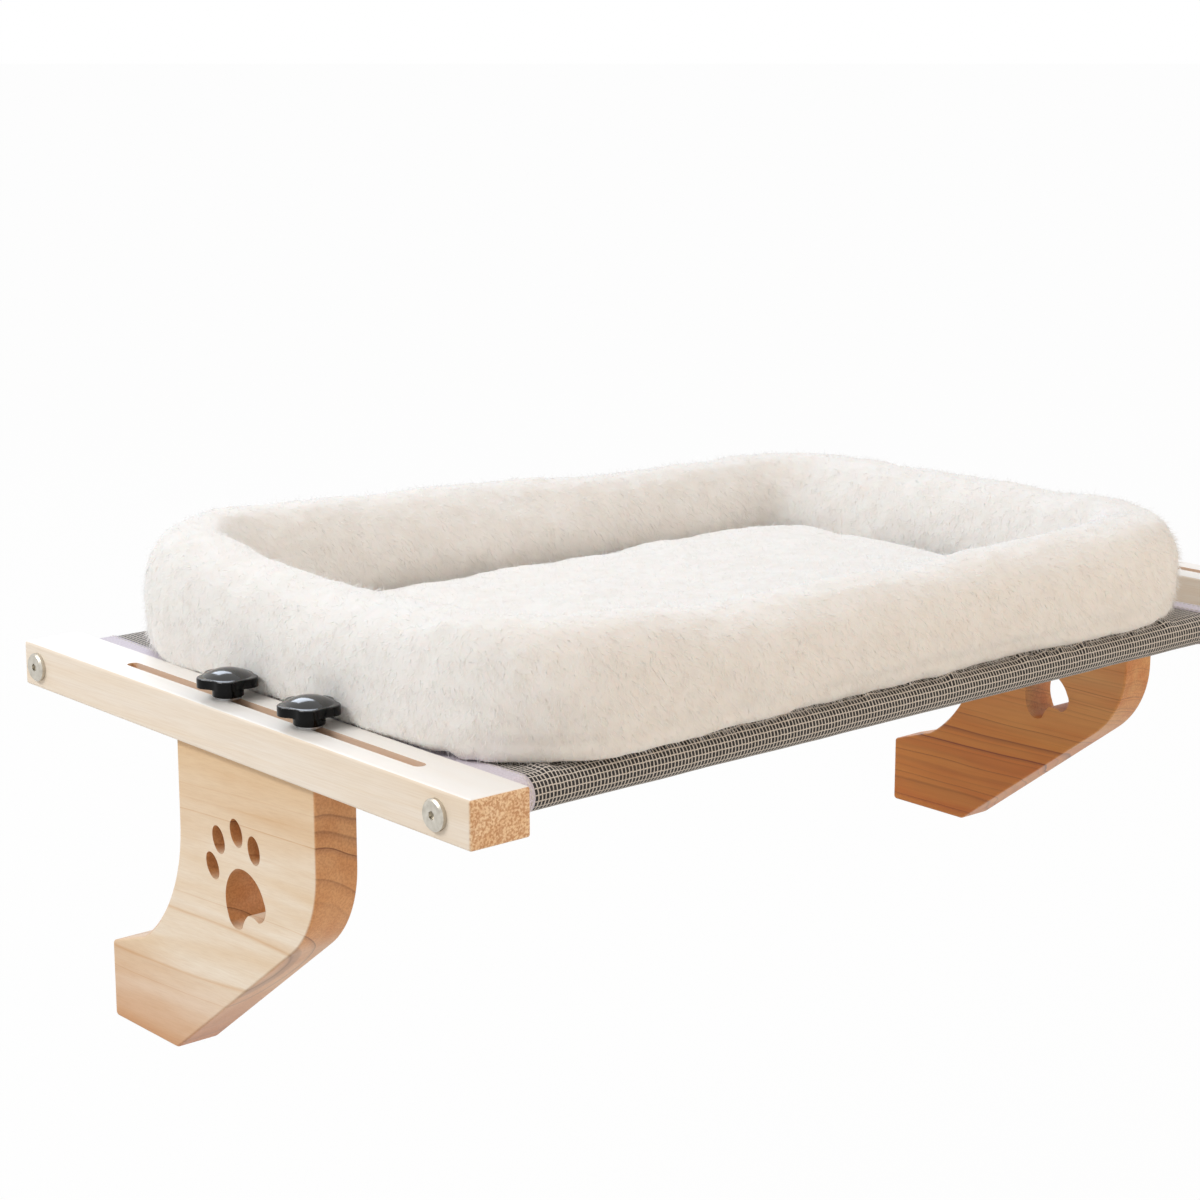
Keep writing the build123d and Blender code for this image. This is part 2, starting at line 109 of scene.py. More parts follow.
# %% Growth rings from the distance to the pith
def growth_rings(tree, place, pith, ring, lean, sway):
    """How far a point is from the pith line, and how dark its year's late wood is."""
    turned = add(tree, "ShaderNodeMapping", {"Vector": place}, Location=(-pith[0], 0, -pith[1]),
                 Rotation=(lean, 0, lean)).outputs[0]
    # Slow bends of the trunk: about 30 cm long along Y and 6 cm across it
    slow = add(tree, "ShaderNodeMapping", {"Vector": turned}, Scale=(16, 3.2, 16)).outputs[0]
    wander = add(tree, "ShaderNodeTexNoise", {"Vector": slow}, Scale=1.0, Detail=2.5).outputs["Color"]
    centred = add(tree, "ShaderNodeVectorMath", {0: wander, 1: (0.5, 0.5, 0.5)},
                  operation="SUBTRACT").outputs[0]
    offset = add(tree, "ShaderNodeVectorMath", {0: centred, 1: (sway, 0.0, sway)},
                 operation="MULTIPLY").outputs[0]
    bent = add(tree, "ShaderNodeVectorMath", {0: turned, 1: offset}, operation="ADD").outputs[0]
    axes = add(tree, "ShaderNodeSeparateXYZ", {0: bent}).outputs
    x_square, z_square = [add(tree, "ShaderNodeMath", {0: axes[axis], 1: 2.0}, operation="POWER").outputs[0]
                          for axis in ("X", "Z")]
    square = add(tree, "ShaderNodeMath", {0: x_square, 1: z_square}, operation="ADD").outputs[0]
    distance = add(tree, "ShaderNodeMath", {0: square}, operation="SQRT").outputs[0]
    even_years = add(tree, "ShaderNodeMath", {0: distance, 1: ring}, operation="DIVIDE").outputs[0]
    # Years are not evenly wide: a slow wave along the radius shifts them by up to 2.6 years
    slowly = add(tree, "ShaderNodeMath", {0: even_years, 1: 0.6}, operation="MULTIPLY").outputs[0]
    wave = add(tree, "ShaderNodeTexNoise", {"W": slowly}, noise_dimensions="1D", Detail=1.0,
               Scale=1.0).outputs["Fac"]
    shift = add(tree, "ShaderNodeMath", {0: wave, 1: 2.6}, operation="MULTIPLY").outputs[0]
    years = add(tree, "ShaderNodeMath", {0: even_years, 1: shift}, operation="ADD").outputs[0]
    # The whole part of the count names the year and the rest is the season in it
    year = add(tree, "ShaderNodeMath", {0: years}, operation="FLOOR").outputs[0]
    season = add(tree, "ShaderNodeMath", {0: years}, operation="FRACT").outputs[0]
    late = add(tree, "ShaderNodeValToRGB", {"Fac": season},
               stops=[(0.0, "#000000"), (0.52, "#161616"), (0.84, "#A8A8A8"), (0.93, "#FFFFFF"),
                      (1.0, "#000000")]).outputs["Color"]
    # A power makes most years faint, and the last two steps keep the faintest at 15 per cent
    chance = add(tree, "ShaderNodeTexWhiteNoise", {"W": year}, noise_dimensions="1D").outputs["Value"]
    rare = add(tree, "ShaderNodeMath", {0: chance, 1: 1.8}, operation="POWER").outputs[0]
    lowered = add(tree, "ShaderNodeMath", {0: rare, 1: 0.85}, operation="MULTIPLY").outputs[0]
    strength = add(tree, "ShaderNodeMath", {0: lowered, 1: 0.15}, operation="ADD").outputs[0]
    darkness = add(tree, "ShaderNodeMath", {0: late, 1: strength}, operation="MULTIPLY").outputs[0]
    return turned, distance, darkness


print("ring helper ready")

# %% [markdown]
# Three tints lie on a part of a board only. The walls of the routed slots get painted shade: a browner
# pink than the planed sides, for the dark inside the slots. A board turns more orange towards its lower
# edge. An upper side gets a painted highlight: it is paler where it looks up into the window's light.
# Each is a mask that says where, made from the place or the direction of the surface, and a colour
# that goes over the wood there.

# %% Tints on a part of a board
def shade_slot_walls(tree, wood, place, facing, middle, reach, painted_shade):
    """Darkens the walls of slots whose middles lie a given distance either side of x 0 with painted shade."""
    sideways = add(tree, "ShaderNodeSeparateXYZ", {0: place}).outputs["X"]
    from_centre = add(tree, "ShaderNodeMath", {0: sideways}, operation="ABSOLUTE").outputs[0]
    past_middle = add(tree, "ShaderNodeMath", {0: from_centre, 1: middle}, operation="SUBTRACT").outputs[0]
    off_middle = add(tree, "ShaderNodeMath", {0: past_middle}, operation="ABSOLUTE").outputs[0]
    near_slot = add(tree, "ShaderNodeMath", {0: off_middle, 1: reach}, operation="LESS_THAN").outputs[0]
    turned_away = add(tree, "ShaderNodeMath", {0: facing["X"]}, operation="ABSOLUTE").outputs[0]
    is_wall = add(tree, "ShaderNodeMath", {0: turned_away, 1: 0.3}, operation="GREATER_THAN").outputs[0]
    inside = add(tree, "ShaderNodeMath", {0: near_slot, 1: is_wall}, operation="MULTIPLY").outputs[0]
    # Painted shade: the slot walls take a browner pink for the dark inside the slots
    return add(tree, "ShaderNodeMix", {"Factor": inside, 6: wood, 7: linear(painted_shade)}, data_type="RGBA",
               blend_type="MULTIPLY").outputs[2]


def tint_lower_edge_orange(tree, wood, place, starts, full, orange):
    """Tints the wood more orange below a first height, fully from a second height down."""
    up = add(tree, "ShaderNodeSeparateXYZ", {0: place}).outputs["Z"]
    below_start = add(tree, "ShaderNodeMath", {0: up, 1: starts}, operation="SUBTRACT").outputs[0]
    lower = add(tree, "ShaderNodeMath", {0: below_start, 1: full - starts}, operation="DIVIDE",
                use_clamp=True).outputs[0]
    return add(tree, "ShaderNodeMix", {"Factor": lower, 6: wood, 7: linear(orange)}, data_type="RGBA",
               blend_type="MULTIPLY").outputs[2]


def paint_top_highlight(tree, wood, facing, highlight_colour, share):
    """Mixes a share of a paler colour into the sides that look upwards, as a painted highlight."""
    # Painted highlight: the upper sides take a paler colour for the light that falls on them
    is_top = add(tree, "ShaderNodeMath", {0: facing["Z"], 1: 0.8}, operation="GREATER_THAN").outputs[0]
    upward = add(tree, "ShaderNodeMath", {0: is_top, 1: share}, operation="MULTIPLY").outputs[0]
    return add(tree, "ShaderNodeMix", {"Factor": upward, 6: wood, 7: linear(highlight_colour)},
               data_type="RGBA").outputs[2]


print("board tints ready")

# %% [markdown]
# A plank's long sides are pale and their rings are faint, thin lines. Where the cut crosses the
# grain, the wood drinks the coat: it is orange brown, its rings are strong and its pores show as
# speckle. The grain runs along Y here, so the surface's direction picks between the two pairs of
# colours. Broad warm bands run along the grain, and some distance from the pith the whole plank turns
# warmer.

# %% Planed pine with a clear matt coat
def planed_pine(name, pith, ring, face, sawn, warm, warm_reach, pore, speckled, thin_power=2.2, lean=0.02,
                sway=0.028, slot=None, lower_orange=None, top_highlight=None):
    """Pine with its pith line along Y at (x, z), in metres. Colour pairs are early and late wood.
    The warm tint is absent at the first distance from the pith and full at the second. The last three
    hold what the tint functions take after the surface: the slot walls' painted shade, the more orange
    lower edge and the upper sides' painted highlight."""
    material, tree = new_material(name)
    place = add(tree, "ShaderNodeTexCoord").outputs["Object"]
    turned, distance, late = growth_rings(tree, place, pith, ring, lean, sway)
    fibres = add(tree, "ShaderNodeMapping", {"Vector": turned}, Scale=(1300, 24, 1300)).outputs[0]
    streak = add(tree, "ShaderNodeTexNoise", {"Vector": fibres}, Scale=1.0, Detail=4.0,
                 Roughness=0.6).outputs["Fac"]
    broad = add(tree, "ShaderNodeMapping", {"Vector": turned}, Scale=(70, 6, 70)).outputs[0]
    cloudy = add(tree, "ShaderNodeTexNoise", {"Vector": broad}, Scale=1.0, Detail=3.0).outputs["Fac"]
    pores = add(tree, "ShaderNodeTexNoise", {"Vector": place}, Scale=1 / pore, Detail=2.0).outputs["Fac"]
    normal = add(tree, "ShaderNodeNewGeometry").outputs["Normal"]
    facing = add(tree, "ShaderNodeSeparateXYZ", {0: normal}).outputs
    # The more a surface looks along the grain, the more it is a sawn end
    across = add(tree, "ShaderNodeMath", {0: facing["Y"]}, operation="ABSOLUTE").outputs[0]
    turned_past = add(tree, "ShaderNodeMath", {0: across, 1: 0.15}, operation="SUBTRACT").outputs[0]
    cut = add(tree, "ShaderNodeMath", {0: turned_past, 1: 1.6}, operation="MULTIPLY",
              use_clamp=True).outputs[0]
    thin = add(tree, "ShaderNodeMath", {0: late, 1: thin_power}, operation="POWER").outputs[0]
    faces = add(tree, "ShaderNodeMix", {"Factor": thin, 6: linear(face[0]), 7: linear(face[1])},
                data_type="RGBA").outputs[2]
    ends = add(tree, "ShaderNodeMix", {"Factor": late, 6: linear(sawn[0]), 7: linear(sawn[1])},
               data_type="RGBA").outputs[2]
    speckle = add(tree, "ShaderNodeValToRGB", {"Fac": pores},
                  stops=[(0.38, "#C2966D"), (0.60, "#FFFFFF")]).outputs["Color"]
    ends = add(tree, "ShaderNodeMix", {"Factor": speckled, 6: ends, 7: speckle}, data_type="RGBA",
               blend_type="MULTIPLY").outputs[2]
    no_warmth, full_warmth = warm_reach
    past_start = add(tree, "ShaderNodeMath", {0: distance, 1: no_warmth}, operation="SUBTRACT").outputs[0]
    tinted = add(tree, "ShaderNodeMath", {0: past_start, 1: full_warmth - no_warmth}, operation="DIVIDE",
                 use_clamp=True).outputs[0]
    warmed = add(tree, "ShaderNodeMix", {"Factor": tinted, 6: faces, 7: linear(warm)}, data_type="RGBA",
                 blend_type="MULTIPLY").outputs[2]
    wood = add(tree, "ShaderNodeMix", {"Factor": cut, 6: warmed, 7: ends}, data_type="RGBA").outputs[2]
    grain = add(tree, "ShaderNodeValToRGB", {"Fac": streak},
                stops=[(0.30, "#E6D9C9"), (0.60, "#FFFFFF")]).outputs["Color"]
    wood = add(tree, "ShaderNodeMix", {"Factor": 0.3, 6: wood, 7: grain}, data_type="RGBA",
               blend_type="MULTIPLY").outputs[2]
    clouds = add(tree, "ShaderNodeValToRGB", {"Fac": cloudy},
                 stops=[(0.36, "#FFFFFF"), (0.68, warm)]).outputs["Color"]
    wood = add(tree, "ShaderNodeMix", {"Factor": 0.6, 6: wood, 7: clouds}, data_type="RGBA",
               blend_type="MULTIPLY").outputs[2]
    if slot:
        wood = shade_slot_walls(tree, wood, place, facing, *slot)
    if lower_orange:
        wood = tint_lower_edge_orange(tree, wood, place, *lower_orange)
    if top_highlight:
        wood = paint_top_highlight(tree, wood, facing, *top_highlight)
    fibre_relief = add(tree, "ShaderNodeMath", {0: streak, 1: 0.6}, operation="MULTIPLY").outputs[0]
    ring_relief = add(tree, "ShaderNodeMath", {0: late, 1: 0.4}, operation="MULTIPLY").outputs[0]
    relief = add(tree, "ShaderNodeMath", {0: fibre_relief, 1: ring_relief}, operation="ADD").outputs[0]
    bump = add(tree, "ShaderNodeBump", {"Height": relief}, Strength=0.2, Distance=0.0003).outputs[0]
    duller = add(tree, "ShaderNodeMath", {0: streak, 1: 0.14}, operation="MULTIPLY").outputs[0]
    rough = add(tree, "ShaderNodeMath", {0: duller, 1: 0.34}, operation="ADD").outputs[0]
    shader = add(tree, "ShaderNodeBsdfPrincipled", {"Base Color": wood, "Roughness": rough, "Normal": bump},
                 IOR=1.46)
    add(tree, "ShaderNodeOutputMaterial", {"Surface": shader.outputs[0]})
    return material


# The rail's slot walls get painted shade, a browner pink for the dark inside the slots
# The rail's upper side gets a painted highlight: it is paler where it looks upwards
rail_pine = planed_pine(
    "pine_planed_rail", pith=(-0.09, -0.30), ring=0.0125, face=("#F0E4D5", "#E6CFAE"),
    sawn=("#F8DAB4", "#DFB080"), warm="#F8ECDA", warm_reach=(0.32, 0.20), pore=0.0013, speckled=0.75,
    slot=(0.320, 0.0045, "#F3E6DE"), top_highlight=("#F9F9F8", 0.7))
# The near leg turns more orange towards its bottom, fully from -195 mm down
near_leg_pine = planed_pine(
    "pine_planed_near_leg", pith=(-0.334, -0.115), ring=0.0125, face=("#F1E3D0", "#D8AE7A"),
    sawn=("#DFA874", "#6E3719"), warm="#ECD3AE", warm_reach=(0.05, 0.12), pore=0.0012, speckled=0.3,
    lean=0.07, sway=0.014, lower_orange=(-0.125, -0.195, "#D9A162"))
# Painted shade: the far leg's pine is a darker, more orange copy, for the hammock's shadow that lies on it
far_leg_pine_shaded = planed_pine(
    "pine_heartwood_far_leg", pith=(0.29, -0.21), ring=0.0058, face=("#F2D29C", "#85481D"),
    sawn=("#DAA366", "#5C3114"), warm="#E8AE6C", warm_reach=(0.30, 0.10), pore=0.0012, speckled=0.3,
    thin_power=1.0)
print("wood finishes", rail_pine.name, near_leg_pine.name, far_leg_pine_shaded.name)

# %% [markdown]
# Metal here is small hardware. The frame bolts are nickel plated and turned, so their faces carry
# faint rings round the axis. Studs, washers and plugs are bright zinc. The inserts are turned brass.
# The metals share one recipe: full metallic, a roughness between satin and bright, and fine lines.

# %% Plated and turned metals
def turned_metal(name, colour, roughness, line_pitch, axis, lines=0.12):
    """Metal with fine lines line_pitch metres apart along one axis of the object."""
    material, tree = new_material(name)
    place = add(tree, "ShaderNodeTexCoord").outputs["Object"]
    along = add(tree, "ShaderNodeSeparateXYZ", {0: place}).outputs[axis]
    turns = add(tree, "ShaderNodeMath", {0: along, 1: 2 * math.pi / line_pitch},
                operation="MULTIPLY").outputs[0]
    wave = add(tree, "ShaderNodeMath", {0: turns}, operation="SINE").outputs[0]
    smudge = add(tree, "ShaderNodeTexNoise", {"Vector": place}, Scale=320.0, Detail=3.0).outputs["Fac"]
    # The smudges move the roughness by up to 0.09 either way
    dulled = add(tree, "ShaderNodeMath", {0: smudge, 1: 0.18}, operation="MULTIPLY").outputs[0]
    rough = add(tree, "ShaderNodeMath", {0: dulled, 1: roughness - 0.09}, operation="ADD").outputs[0]
    tone = add(tree, "ShaderNodeValToRGB", {"Fac": smudge},
               stops=[(0.3, "#E4E2DF"), (0.7, "#FFFFFF")]).outputs["Color"]
    base = add(tree, "ShaderNodeMix", {"Factor": 1.0, 6: linear(colour), 7: tone}, data_type="RGBA",
               blend_type="MULTIPLY").outputs[2]
    bump = add(tree, "ShaderNodeBump", {"Height": wave}, Strength=lines, Distance=0.0002).outputs[0]
    shader = add(tree, "ShaderNodeBsdfPrincipled", {"Base Color": base, "Roughness": rough, "Normal": bump},
                 Metallic=1.0)
    add(tree, "ShaderNodeOutputMaterial", {"Surface": shader.outputs[0]})
    return material


nickel = turned_metal("nickel_plated_satin", "#D6D1C6", 0.36, 0.0004, "X")
zinc = turned_metal("steel_zinc_plated", "#C9CBCE", 0.30, 0.0004, "Y")
stud_zinc = turned_metal("steel_rolled_thread", "#BFC1C4", 0.32, 0.001, "Z", lines=0.9)
brass = turned_metal("brass_turned", "#C9A45C", 0.30, 0.0005, "Z")
print("metals", nickel.name, zinc.name, stud_zinc.name, brass.name)

# %% [markdown]
# The star knobs are injection moulded in glossy black nylon. Such a surface mirrors the room a
# little, with a faint orange peel from the mould, so it has a low roughness and a very weak bump.
# The dome is polished and mirrors the sky. The sides stay near black in the picture, so they mirror
# less, and the IOR is set below nylon's usual 1.53.
# The cross tubes have a pale powder coat, whose skin is finely pebbled.

# %% Moulded plastic and powder coat
def skin(name, colour, roughness, pebble, depth, ior=1.5, tone_low="#E8E8E8", scatter=0.0, mirror=None):
    """A smooth coloured skin with pebbles of a given size in metres. Scatter lets light through it.
    Mirror is the specular level on the sides and on top, where it differs from what the IOR gives."""
    material, tree = new_material(name)
    place = add(tree, "ShaderNodeTexCoord").outputs["Object"]
    fine = add(tree, "ShaderNodeTexNoise", {"Vector": place}, Scale=1 / pebble, Detail=2.0).outputs["Fac"]
    broad = add(tree, "ShaderNodeTexNoise", {"Vector": place}, Scale=90.0, Detail=2.0).outputs["Fac"]
    tone = add(tree, "ShaderNodeValToRGB", {"Fac": broad},
               stops=[(0.3, tone_low), (0.7, "#FFFFFF")]).outputs["Color"]
    base = add(tree, "ShaderNodeMix", {"Factor": 1.0, 6: linear(colour), 7: tone}, data_type="RGBA",
               blend_type="MULTIPLY").outputs[2]
    # The broad noise moves the roughness by up to 0.06 either way
    dulled = add(tree, "ShaderNodeMath", {0: broad, 1: 0.12}, operation="MULTIPLY").outputs[0]
    rough = add(tree, "ShaderNodeMath", {0: dulled, 1: roughness - 0.06}, operation="ADD").outputs[0]
    bump = add(tree, "ShaderNodeBump", {"Height": fine}, Strength=0.3, Distance=depth).outputs[0]
    links = {"Base Color": base, "Roughness": rough, "Normal": bump}
    if mirror:
        side_mirror, top_mirror = mirror
        normal = add(tree, "ShaderNodeNewGeometry").outputs["Normal"]
        facing = add(tree, "ShaderNodeSeparateXYZ", {0: normal}).outputs
        past_side = add(tree, "ShaderNodeMath", {0: facing["Z"], 1: 0.3}, operation="SUBTRACT").outputs[0]
        upward = add(tree, "ShaderNodeMath", {0: past_side, 1: 2.5}, operation="MULTIPLY",
                     use_clamp=True).outputs[0]
        gained = add(tree, "ShaderNodeMath", {0: upward, 1: top_mirror - side_mirror},
                     operation="MULTIPLY").outputs[0]
        level = add(tree, "ShaderNodeMath", {0: gained, 1: side_mirror}, operation="ADD").outputs[0]
        links["Specular IOR Level"] = level
    shader = add(tree, "ShaderNodeBsdfPrincipled", links, IOR=ior, Subsurface_Weight=scatter,
                 Subsurface_Scale=0.005, Subsurface_Radius=(1.0, 0.9, 0.8))
    add(tree, "ShaderNodeOutputMaterial", {"Surface": shader.outputs[0]})
    return material


black_nylon = skin("nylon_black_moulded", "#070707", roughness=0.11, pebble=0.0012, depth=0.00004, ior=1.45,
                   mirror=(0.18, 1.0))
tube_coat = skin("powder_coat_pale", "#E9E6E1", roughness=0.40, pebble=0.0006, depth=0.00006)
print("skins", black_nylon.name, tube_coat.name)

# %% [markdown]
# The hammock is an open woven mesh: black yarn with pale yarn between, which reads as dark cells in
# a light grid. The pattern follows the cloth round the tubes, so it is drawn on the cloth's own UV
# map, which is laid out in millimetres. Real cells are about 2.3 by 3 mm.

# %% Woven mesh cloth
# In millimetres
WARP_PITCH, WARP_WIDTH = 2.3, 1.1
WEFT_PITCH, WEFT_WIDTH = 3.1, 0.95


def thread_height(tree, along, pitch, width):
    """A rounded ridge of the given width every pitch, both in millimetres."""
    count = add(tree, "ShaderNodeMath", {0: along, 1: pitch}, operation="DIVIDE").outputs[0]
    phase = add(tree, "ShaderNodeMath", {0: count}, operation="FRACT").outputs[0]
    past_middle = add(tree, "ShaderNodeMath", {0: phase, 1: 0.5}, operation="SUBTRACT").outputs[0]
    from_middle = add(tree, "ShaderNodeMath", {0: past_middle}, operation="ABSOLUTE").outputs[0]
    slope = add(tree, "ShaderNodeMath", {0: from_middle, 1: 2 * pitch / width},
                operation="MULTIPLY").outputs[0]
    return add(tree, "ShaderNodeMath", {0: 1.0, 1: slope}, operation="SUBTRACT", use_clamp=True).outputs[0]


def mesh_weave(name):
    """Pale threads about a millimetre wide in two directions over black ones."""
    material, tree = new_material(name)
    uv = add(tree, "ShaderNodeUVMap", uv_map="cloth_mm").outputs[0]
    wobble = add(tree, "ShaderNodeTexNoise", {"Vector": uv}, Scale=0.35, Detail=3.0).outputs["Color"]
    # No thread runs quite straight: it wanders by up to a third of a millimetre
    wobble = add(tree, "ShaderNodeVectorMath", {0: wobble, 1: (0.5, 0.5, 0.5)},
                 operation="SUBTRACT").outputs[0]
    wobble = add(tree, "ShaderNodeVectorMath", {0: wobble, 1: (0.7, 0.7, 0.0)},
                 operation="MULTIPLY").outputs[0]
    uv = add(tree, "ShaderNodeVectorMath", {0: uv, 1: wobble}, operation="ADD").outputs[0]
    axes = add(tree, "ShaderNodeSeparateXYZ", {0: uv}).outputs
    warp = thread_height(tree, axes["X"], WARP_PITCH, WARP_WIDTH)
    weft = thread_height(tree, axes["Y"], WEFT_PITCH, WEFT_WIDTH)
    yarn = add(tree, "ShaderNodeMath", {0: warp, 1: weft}, operation="MAXIMUM").outputs[0]
    fibre = add(tree, "ShaderNodeTexNoise", {"Vector": uv}, Scale=2.2, Detail=3.0).outputs["Fac"]
    cover = add(tree, "ShaderNodeValToRGB", {"Fac": yarn},
                stops=[(0.25, "#000000"), (0.55, "#FFFFFF")]).outputs["Color"]
    pale = add(tree, "ShaderNodeValToRGB", {"Fac": fibre},
               stops=[(0.3, "#B5A99C"), (0.7, "#F0E9E1")]).outputs["Color"]
    base = add(tree, "ShaderNodeMix", {"Factor": cover, 6: linear("#12100F"), 7: pale},
               data_type="RGBA").outputs[2]
    fuzz = add(tree, "ShaderNodeMath", {0: fibre, 1: 0.2}, operation="MULTIPLY").outputs[0]
    height = add(tree, "ShaderNodeMath", {0: yarn, 1: fuzz}, operation="ADD").outputs[0]
    bump = add(tree, "ShaderNodeBump", {"Height": height}, Strength=0.7, Distance=0.0004).outputs[0]
    shader = add(tree, "ShaderNodeBsdfPrincipled", {"Base Color": base, "Normal": bump}, Roughness=0.72,
                 IOR=1.45, Sheen_Weight=0.15)
    add(tree, "ShaderNodeOutputMaterial", {"Surface": shader.outputs[0]})
    return material


mesh_cloth = mesh_weave("polyester_mesh_woven")
print("cloth finish", mesh_cloth.name)

# %% [markdown]
# The cloth's raw ends are bound with a pale woven tape. Tape like this has fine ribs across it, so
# the bump is a narrow wave along the tape on the same UV map, with a little unevenness.

# %% Woven binding tape
def ribbed_tape(name, colour, rib):
    """Tape with ribs rib millimetres apart."""
    material, tree = new_material(name)
    uv = add(tree, "ShaderNodeUVMap", uv_map="cloth_mm").outputs[0]
    axes = add(tree, "ShaderNodeSeparateXYZ", {0: uv}).outputs
    slant = add(tree, "ShaderNodeMath", {0: axes["X"], 1: 0.6}, operation="MULTIPLY").outputs[0]
    twill = add(tree, "ShaderNodeMath", {0: axes["Y"], 1: slant}, operation="ADD").outputs[0]
    turns = add(tree, "ShaderNodeMath", {0: twill, 1: 2 * math.pi / rib}, operation="MULTIPLY").outputs[0]
    wave = add(tree, "ShaderNodeMath", {0: turns}, operation="SINE").outputs[0]
    uneven = add(tree, "ShaderNodeTexNoise", {"Vector": uv}, Scale=0.9, Detail=3.0).outputs["Fac"]
    tone = add(tree, "ShaderNodeValToRGB", {"Fac": uneven},
               stops=[(0.3, "#E3DFE2"), (0.7, "#FFFFFF")]).outputs["Color"]
    base = add(tree, "ShaderNodeMix", {"Factor": 1.0, 6: linear(colour), 7: tone}, data_type="RGBA",
               blend_type="MULTIPLY").outputs[2]
    bump = add(tree, "ShaderNodeBump", {"Height": wave}, Strength=0.5, Distance=0.0002).outputs[0]
    shader = add(tree, "ShaderNodeBsdfPrincipled", {"Base Color": base, "Normal": bump}, Roughness=0.8,
                 Sheen_Weight=0.2)
    add(tree, "ShaderNodeOutputMaterial", {"Surface": shader.outputs[0]})
    return material


tape = ribbed_tape("polyester_tape_woven", "#E3DCE6", 1.0)
sewing_thread = skin("polyester_thread_spun", "#D9D3CB", roughness=0.7, pebble=0.0004, depth=0.0001)
print("tape and thread", tape.name, sewing_thread.name)

# %% [markdown]
# The bed is covered in short pile plush. Its fibres scatter light, so the cloth looks bright and
# soft, with a pale rim where one looks along the fibres. Sheen and a little scattering under the
# surface give that. The fibres lie in small clumps, and these come from noise at two sizes.

# %% Short pile plush
def short_pile(name, lit, shade, fibre_depth):
    """Pale plush whose fibres lie in soft strokes a few millimetres long."""
    material, tree = new_material(name)
    place = add(tree, "ShaderNodeTexCoord").outputs["Object"]
    swirl = add(tree, "ShaderNodeTexNoise", {"Vector": place}, Scale=30.0, Detail=2.0).outputs["Color"]
    swirl = add(tree, "ShaderNodeVectorMath", {0: swirl, 1: (0.03, 0.03, 0.03)},
                operation="MULTIPLY").outputs[0]
    combed = add(tree, "ShaderNodeVectorMath", {0: place, 1: swirl}, operation="ADD").outputs[0]
    strokes = add(tree, "ShaderNodeMapping", {"Vector": combed}, Scale=(1.0, 1.0, 0.3)).outputs[0]
    fibres = add(tree, "ShaderNodeTexNoise", {"Vector": strokes}, Scale=620.0, Detail=3.0,
                 Roughness=0.6).outputs["Fac"]
    clumps = add(tree, "ShaderNodeTexNoise", {"Vector": combed}, Scale=85.0, Detail=3.0).outputs["Fac"]
    fine = add(tree, "ShaderNodeMath", {0: fibres, 1: 0.5}, operation="MULTIPLY").outputs[0]
    height = add(tree, "ShaderNodeMath", {0: fine, 1: clumps}, operation="ADD").outputs[0]
    colour = add(tree, "ShaderNodeValToRGB", {"Fac": clumps},
                 stops=[(0.34, shade), (0.60, lit)]).outputs["Color"]
    bump = add(tree, "ShaderNodeBump", {"Height": height}, Strength=0.5, Distance=fibre_depth).outputs[0]
    shader = add(tree, "ShaderNodeBsdfPrincipled", {"Base Color": colour, "Normal": bump}, Roughness=0.95,
                 IOR=1.3, Sheen_Weight=0.3, Sheen_Roughness=0.6, Subsurface_Weight=0.3,
                 Subsurface_Scale=0.006, Subsurface_Radius=(1.0, 0.6, 0.45))
    add(tree, "ShaderNodeOutputMaterial", {"Surface": shader.outputs[0]})
    return material


plush = short_pile("polyester_plush_backing", "#EDEAE6", "#E9E5E0", 0.0009)
tuft_fibre = skin("polyester_plush_tuft", "#F1EFEC", roughness=0.95, pebble=0.004, depth=0.0001,
                  tone_low="#FAF8F6", scatter=0.8)
print("plush finish", plush.name)

# %% [markdown]
# The pieces made here start as plain meshes. Four small helpers hold what each of them needs: an
# object in the scene, its mesh as it looks with its modifiers applied, its points as rows of three
# numbers for numpy, and smooth shading.

# %% Mesh helpers
def in_scene(name, data):
    """A new object in the scene."""
    piece = bpy.data.objects.new(name, data)
    bpy.context.collection.objects.link(piece)
    return piece


def finished_mesh(piece):
    """A plain mesh of a piece with its modifiers applied."""
    return bpy.data.meshes.new_from_object(piece.evaluated_get(bpy.context.evaluated_depsgraph_get()))


def point_rows(mesh, kind="co"):
    """The places of a mesh's points, or their normals, one row for each."""
    flat = np.empty(len(mesh.vertices) * 3)
    mesh.vertices.foreach_get(kind, flat)
    return flat.reshape(-1, 3)


def shade_smooth(mesh):
    """Lets the light run over a mesh without facets."""
    for polygon in mesh.polygons:
        polygon.use_smooth = True


print("mesh helpers ready")

# %% [markdown]
# The solids whose shape is right keep it, and take their finish here by name.

# %% Dress the wood, metal and plastic
def dress(node, material):
    """Gives a CAD node its finish."""
    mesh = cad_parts[node].data
    mesh.materials.clear()
    mesh.materials.append(material)


for end in ("near", "far"):
    dress(f"{end}_end_rail", rail_pine)
    dress(f"{end}_leg", near_leg_pine if end == "near" else far_leg_pine_shaded)
    for place in ("front", "rear"):
        dress(f"{end}_{place}_frame_bolt", nickel)
        dress(f"{end}_{place}_tube_plug", zinc)
        dress(f"{end}_{place}_insert", brass)
        dress(f"{end}_{place}_washer", zinc)
        dress(f"{end}_{place}_stud", stud_zinc)
        dress(f"{end}_{place}_knob", black_nylon)
for place in ("front", "rear"):
    dress(f"{place}_tube", tube_coat)

# %% [markdown]
# The hammock cloth is one sheet. It starts at a hem under the front tube, goes round the tube, runs
# level to the rear tube, round that and back to its own hem. Its cross section is a plain line of
# points, repeated along the perch, so a grid of points with a real thickness is enough. Small
# puckers stand up next to the sleeves, where the seam gathers the cloth.

